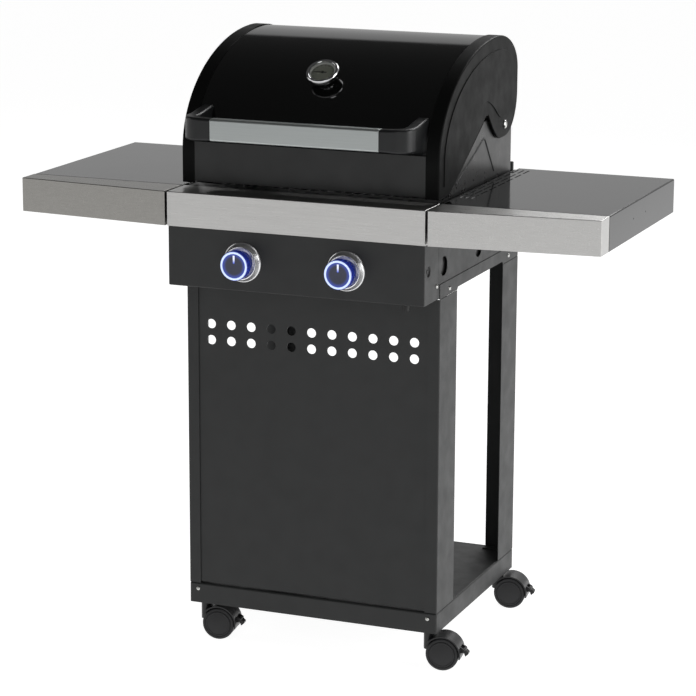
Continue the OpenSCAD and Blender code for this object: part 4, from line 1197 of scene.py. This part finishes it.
rings = [cap_ring(0, CAP_HIGH.x - ROLL, CAP_LOW.x), cap_ring(0, CAP_HIGH.x - 0.99*ROLL, CAP_HIGH.x - ROLL)]
for k in range(1, 6):
    a = math.pi/2*k/5
    x = CAP_HIGH.x - ROLL*(1 - math.sin(a))
    rings.append(cap_ring(ROLL*(1 - math.cos(a)), x, x))
n = len(rings[0])
points = [point for ring in rings for point in ring]
faces = [(k*n + i, k*n + (i + 1) % n, (k + 1)*n + (i + 1) % n, (k + 1)*n + i)
         for k in range(len(rings) - 1) for i in range(n)]
faces.append(tuple(len(points) - n + i for i in range(n)))
skin = mesh_from("cap", points, faces)
if skin.polygons[-1].normal.x < 0:
    skin.flip_normals()
cap = thicken(object_from("cap", skin), 0, 1.3*MM)
contour = field_contour()
RISE = 1.5*MM
steps = [(0, -0.4*MM), (0, 0.5*RISE), (0.3*MM, 0.85*RISE), (0.9*MM, RISE)]
field = loft("field", [[(CAP_HIGH.x + up, y, z) for y, z in shrunk(contour, inward)] for inward, up in steps])
cap = joined("cap_right", cap, field)
place_twins(cap, "cap_left", "lid", "powder_black", CAP_SATIN, "lid_cap_right")
print("cap faces:", MADE["cap_right"], "outline points:", n)

# %% [markdown]
# ## Hinge, handle and thermometer
# A shoulder bolt with a domed head turns in each cheek. The handle is an aluminium extrusion between two
# plastic elbows; each elbow is a loft that leaves the bar square-on, turns through a short arc and flares
# to sit on the lid's curve, so its last ring is laid on the same formula as the lid.

# %% Hinge bolts
def bolt(side):
    """Domed head outside the cap, shank through cap and cheek, spacer between them, nut inside."""
    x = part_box("hinge_bolts")[1].x
    head = [(0, x), (3, x - 0.15e-3), (5.6, x - 0.8e-3), (7.3, x - 1.9e-3), (8, x - 3.3e-3), (4, x - 3.3e-3)]
    shank = [(4, 251.9e-3), (7, 251.9e-3), (7, 248.6e-3), (4, 248.6e-3), (4, 238.2e-3), (0, 238.2e-3)]
    profile = [(r*MM, h) for r, h in head + shank]
    at = Matrix.Translation((0, HINGE.y, HINGE.z)) @ Matrix.Rotation(side*math.pi/2, 4, "Y")
    turned = lathe("bolt", profile, at, 48)
    nut = lathe("nut", [(4*MM, 245.2e-3), (6.6*MM, 245.2e-3), (7.4*MM, 244.6e-3), (7.4*MM, 240.2e-3),
                        (6.6*MM, 239.6e-3), (4*MM, 239.6e-3)], at, 6)
    return turned, nut


bolts = [part for side in (-1, 1) for part in bolt(side)]
place(joined("bolts", *bolts), "lid", "zinc_steel", ZINC, "hinge_bolts")

# %% Handle bar and elbows
low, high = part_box("handle_bar")
middle_y, middle_z = (low.y + high.y)/2, (low.z + high.z)/2
BAR_T, BAR_H = high.y - low.y, high.z - low.z
rings = []
for x, squeeze in ((low.x, 0.8), (low.x + 0.5*MM, 0.2), (low.x + 1*MM, 0), (high.x - 1*MM, 0),
                   (high.x - 0.5*MM, 0.2), (high.x, 0.8)):
    outline = box_outline(BAR_T - squeeze*MM, BAR_H - squeeze*MM, 4.2*MM, 6)
    rings.append([(x, middle_y + y, middle_z + z) for y, z in outline])
bar = loft("bar", rings)
place(bar, "lid", "handle_aluminium", HANDLE_GREY, "handle_bar")


def elbow():
    """Right-hand elbow: straight off the bar, round an arc, then flaring back to the lid."""
    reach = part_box("handle_ends")[1].x - 6*MM
    turn_r = 19*MM
    start = high.x + 0.3*MM
    bend = (reach - turn_r, middle_y + turn_r)
    lid_y = front_y(INSET, middle_z)
    stations = [(start, middle_y, 0.0, 0.0), (start + 0.8*MM, middle_y, 0.0, 0.0),
                (bend[0], middle_y, 0.0, 0.1)]
    for k in range(1, 9):
        a = math.pi/2*k/8
        stations.append((bend[0] + turn_r*math.sin(a), bend[1] - turn_r*math.cos(a), a, 0.1 + 0.12*k/8))
    for k in range(1, 11):
        share = k/10
        stations.append((reach, bend[1] + share*(lid_y - bend[1]), math.pi/2, 0.22 + 0.78*share**2.2))
    rings = []
    for i, (x, y, a, flare) in enumerate(stations):
        edge = 0.9*MM if i == 0 else 0
        thick = BAR_T - 0.4*MM - edge + 2*MM*min(1, 2*flare)
        tall = BAR_H - 0.4*MM - edge + 24*MM*flare
        outline = box_outline(thick, tall, 5*MM, 6)
        ring = []
        for across, up in outline:
            px, py, pz = x - across*math.sin(a), y + across*math.cos(a), middle_z + up
            if i >= len(stations) - 3:
                share = (i - len(stations) + 4)/3
                py += share*(front_y(INSET, pz) + 1.0*MM - lid_y)
            ring.append((px, py, pz))
        rings.append(ring)
    return loft("elbow_right", rings)


place_twins(elbow(), "elbow_left", "lid", "powder_black", PLASTIC, "handle_ends")
print("handle:", MADE["bar"], "faces in the bar,", MADE["elbow_right"], "in an elbow")

# %% Thermometer
needle_joint = JOINTS["needle_turn"]
outward = -Vector(needle_joint["axis"])
tilt = Matrix.Rotation(math.atan2(-outward.y, outward.z), 4, "X")
dial_at = Matrix.Translation(needle_joint["pos_m"]) @ tilt
case_profile = [(0, -55), (3, -55), (3, -6), (6.9, -6), (6.9, -0.5), (11, -0.5), (11, 5), (10.4, 6.2),
                (10.4, 10),
                (11.6, 12), (25, 12), (27.6, 12.5), (29.7, 13.9), (31, 16.2), (31, 21.4), (30.6, 23.4),
                (29.4, 24.7), (27.8, 25), (26.4, 24.7), (25.4, 23.8), (25.1, 22.2), (25.0, 19), (0, 19)]
case = spun("case", case_profile, dial_at, 96)
nut_profile = [(7, -8.2), (10, -8.2), (11, -7.6), (11, -4.6), (10, -4.0), (7, -4.0)]
base_nut = spun("base_nut", nut_profile, dial_at, 6)
place(joined("thermometer", case, base_nut), "lid", "chrome", CHROME, "thermometer_case")
dial = spun("dial", [(0, 18.6), (24.8, 18.6), (24.8, 19.3), (0, 19.3)], dial_at, 64)
place(dial, "lid", "porcelain", DIAL_PRINT)
ring_profile = [(21.6, 19.2), (24.9, 19.2), (24.9, 19.8), (24.3, 20), (21.6, 19.42)]
dial_ring = spun("dial_ring", ring_profile, dial_at, 64)
place(dial_ring, "lid", "porcelain", DIAL_RING)
ticks_at = dial_at @ Matrix.Translation((0, 0, 19.32*MM))
long_ticks = marks.make("long", DIAL_MARK, matrix=ticks_at, Count=11, Radius=19*MM, Length=4*MM, Width=1*MM,
                        Depth=0.2*MM, Start=math.radians(-35), Sweep=math.radians(250))
short_ticks = marks.make("short", DIAL_MARK, matrix=ticks_at, Count=51, Radius=20.2*MM, Length=1.6*MM,
                         Width=0.45*MM, Depth=0.2*MM, Start=math.radians(-35), Sweep=math.radians(250))
place(joined("dial_marks", long_ticks, short_ticks), "lid", "needle_black", DIAL_MARK)

blade = [(-18.9, 0), (-17, -0.35), (-3, -1.2), (7.8, -1.0), (7.8, 1.0), (-3, 1.2), (-17, 0.35)]
blade_layers = ((0.99, 19.55), (1, 19.7), (1, 20.1), (0.98, 20.3))
needle_blade = loft("blade", [[mm(s*x, s*y, z) for x, y in blade] for s, z in blade_layers], dial_at)
needle_hub = spun("hub", [(0, 19.5), (2.5, 19.5), (2.5, 20.5), (1.9, 21.1), (0, 21.1)], dial_at, 32)
needle = joined("needle_skin", needle_blade, needle_hub)
place(needle, "needle", "needle_black", BLACK_PAINT, "thermometer_needle")
glass_profile = [(0, 22.4), (24.8, 22.4), (24.9, 22.7), (24.8, 23.1), (16, 23.7), (0, 23.95)]
glass = spun("glass", glass_profile, dial_at, 64)
place(glass, "lid", "dial_glass", CLEAR_GLASS, "thermometer_glass")
print("thermometer pieces made; dial stands", round(dial_at.translation.z, 4), "m up")

# %% [markdown]
# ## What stays as the frame made it
# Burners, valves, the manifold and the inner box sit in shadow and are plain shapes on the real product
# too, so the frame's own solids stay in view and only get their finish; the manifold's is a near-black that
# paints shade over it.

# %% Finishes for the frame's own nodes
# The gas manifold's near-black coat is painted shade, so that it hardly shows
KEPT = {"battery_box": CASTER, "burner_left": BURNER_STEEL, "burner_right": BURNER_STEEL,
        "firebox": BOX_ENAMEL, "gas_manifold": MANIFOLD_PAINTED_SHADE, "gas_valves": BRASS, "igniters": PORCELAIN,
        "valve_stem_left": ZINC, "valve_stem_right": ZINC, "warming_rack": CHROME}
kept = [obj for obj in frame["nodes"].values() if not obj.hide_render]
for obj in kept:
    obj.data.materials.clear()
    obj.data.materials.append(KEPT[obj.name])
print("kept:", {obj.name: obj.data.materials[0].name for obj in kept})

# %% Piece and face counts, and the end of the script
low, high = CAD_BOX
print("pieces:", len(MADE), "faces:", sum(MADE.values()))
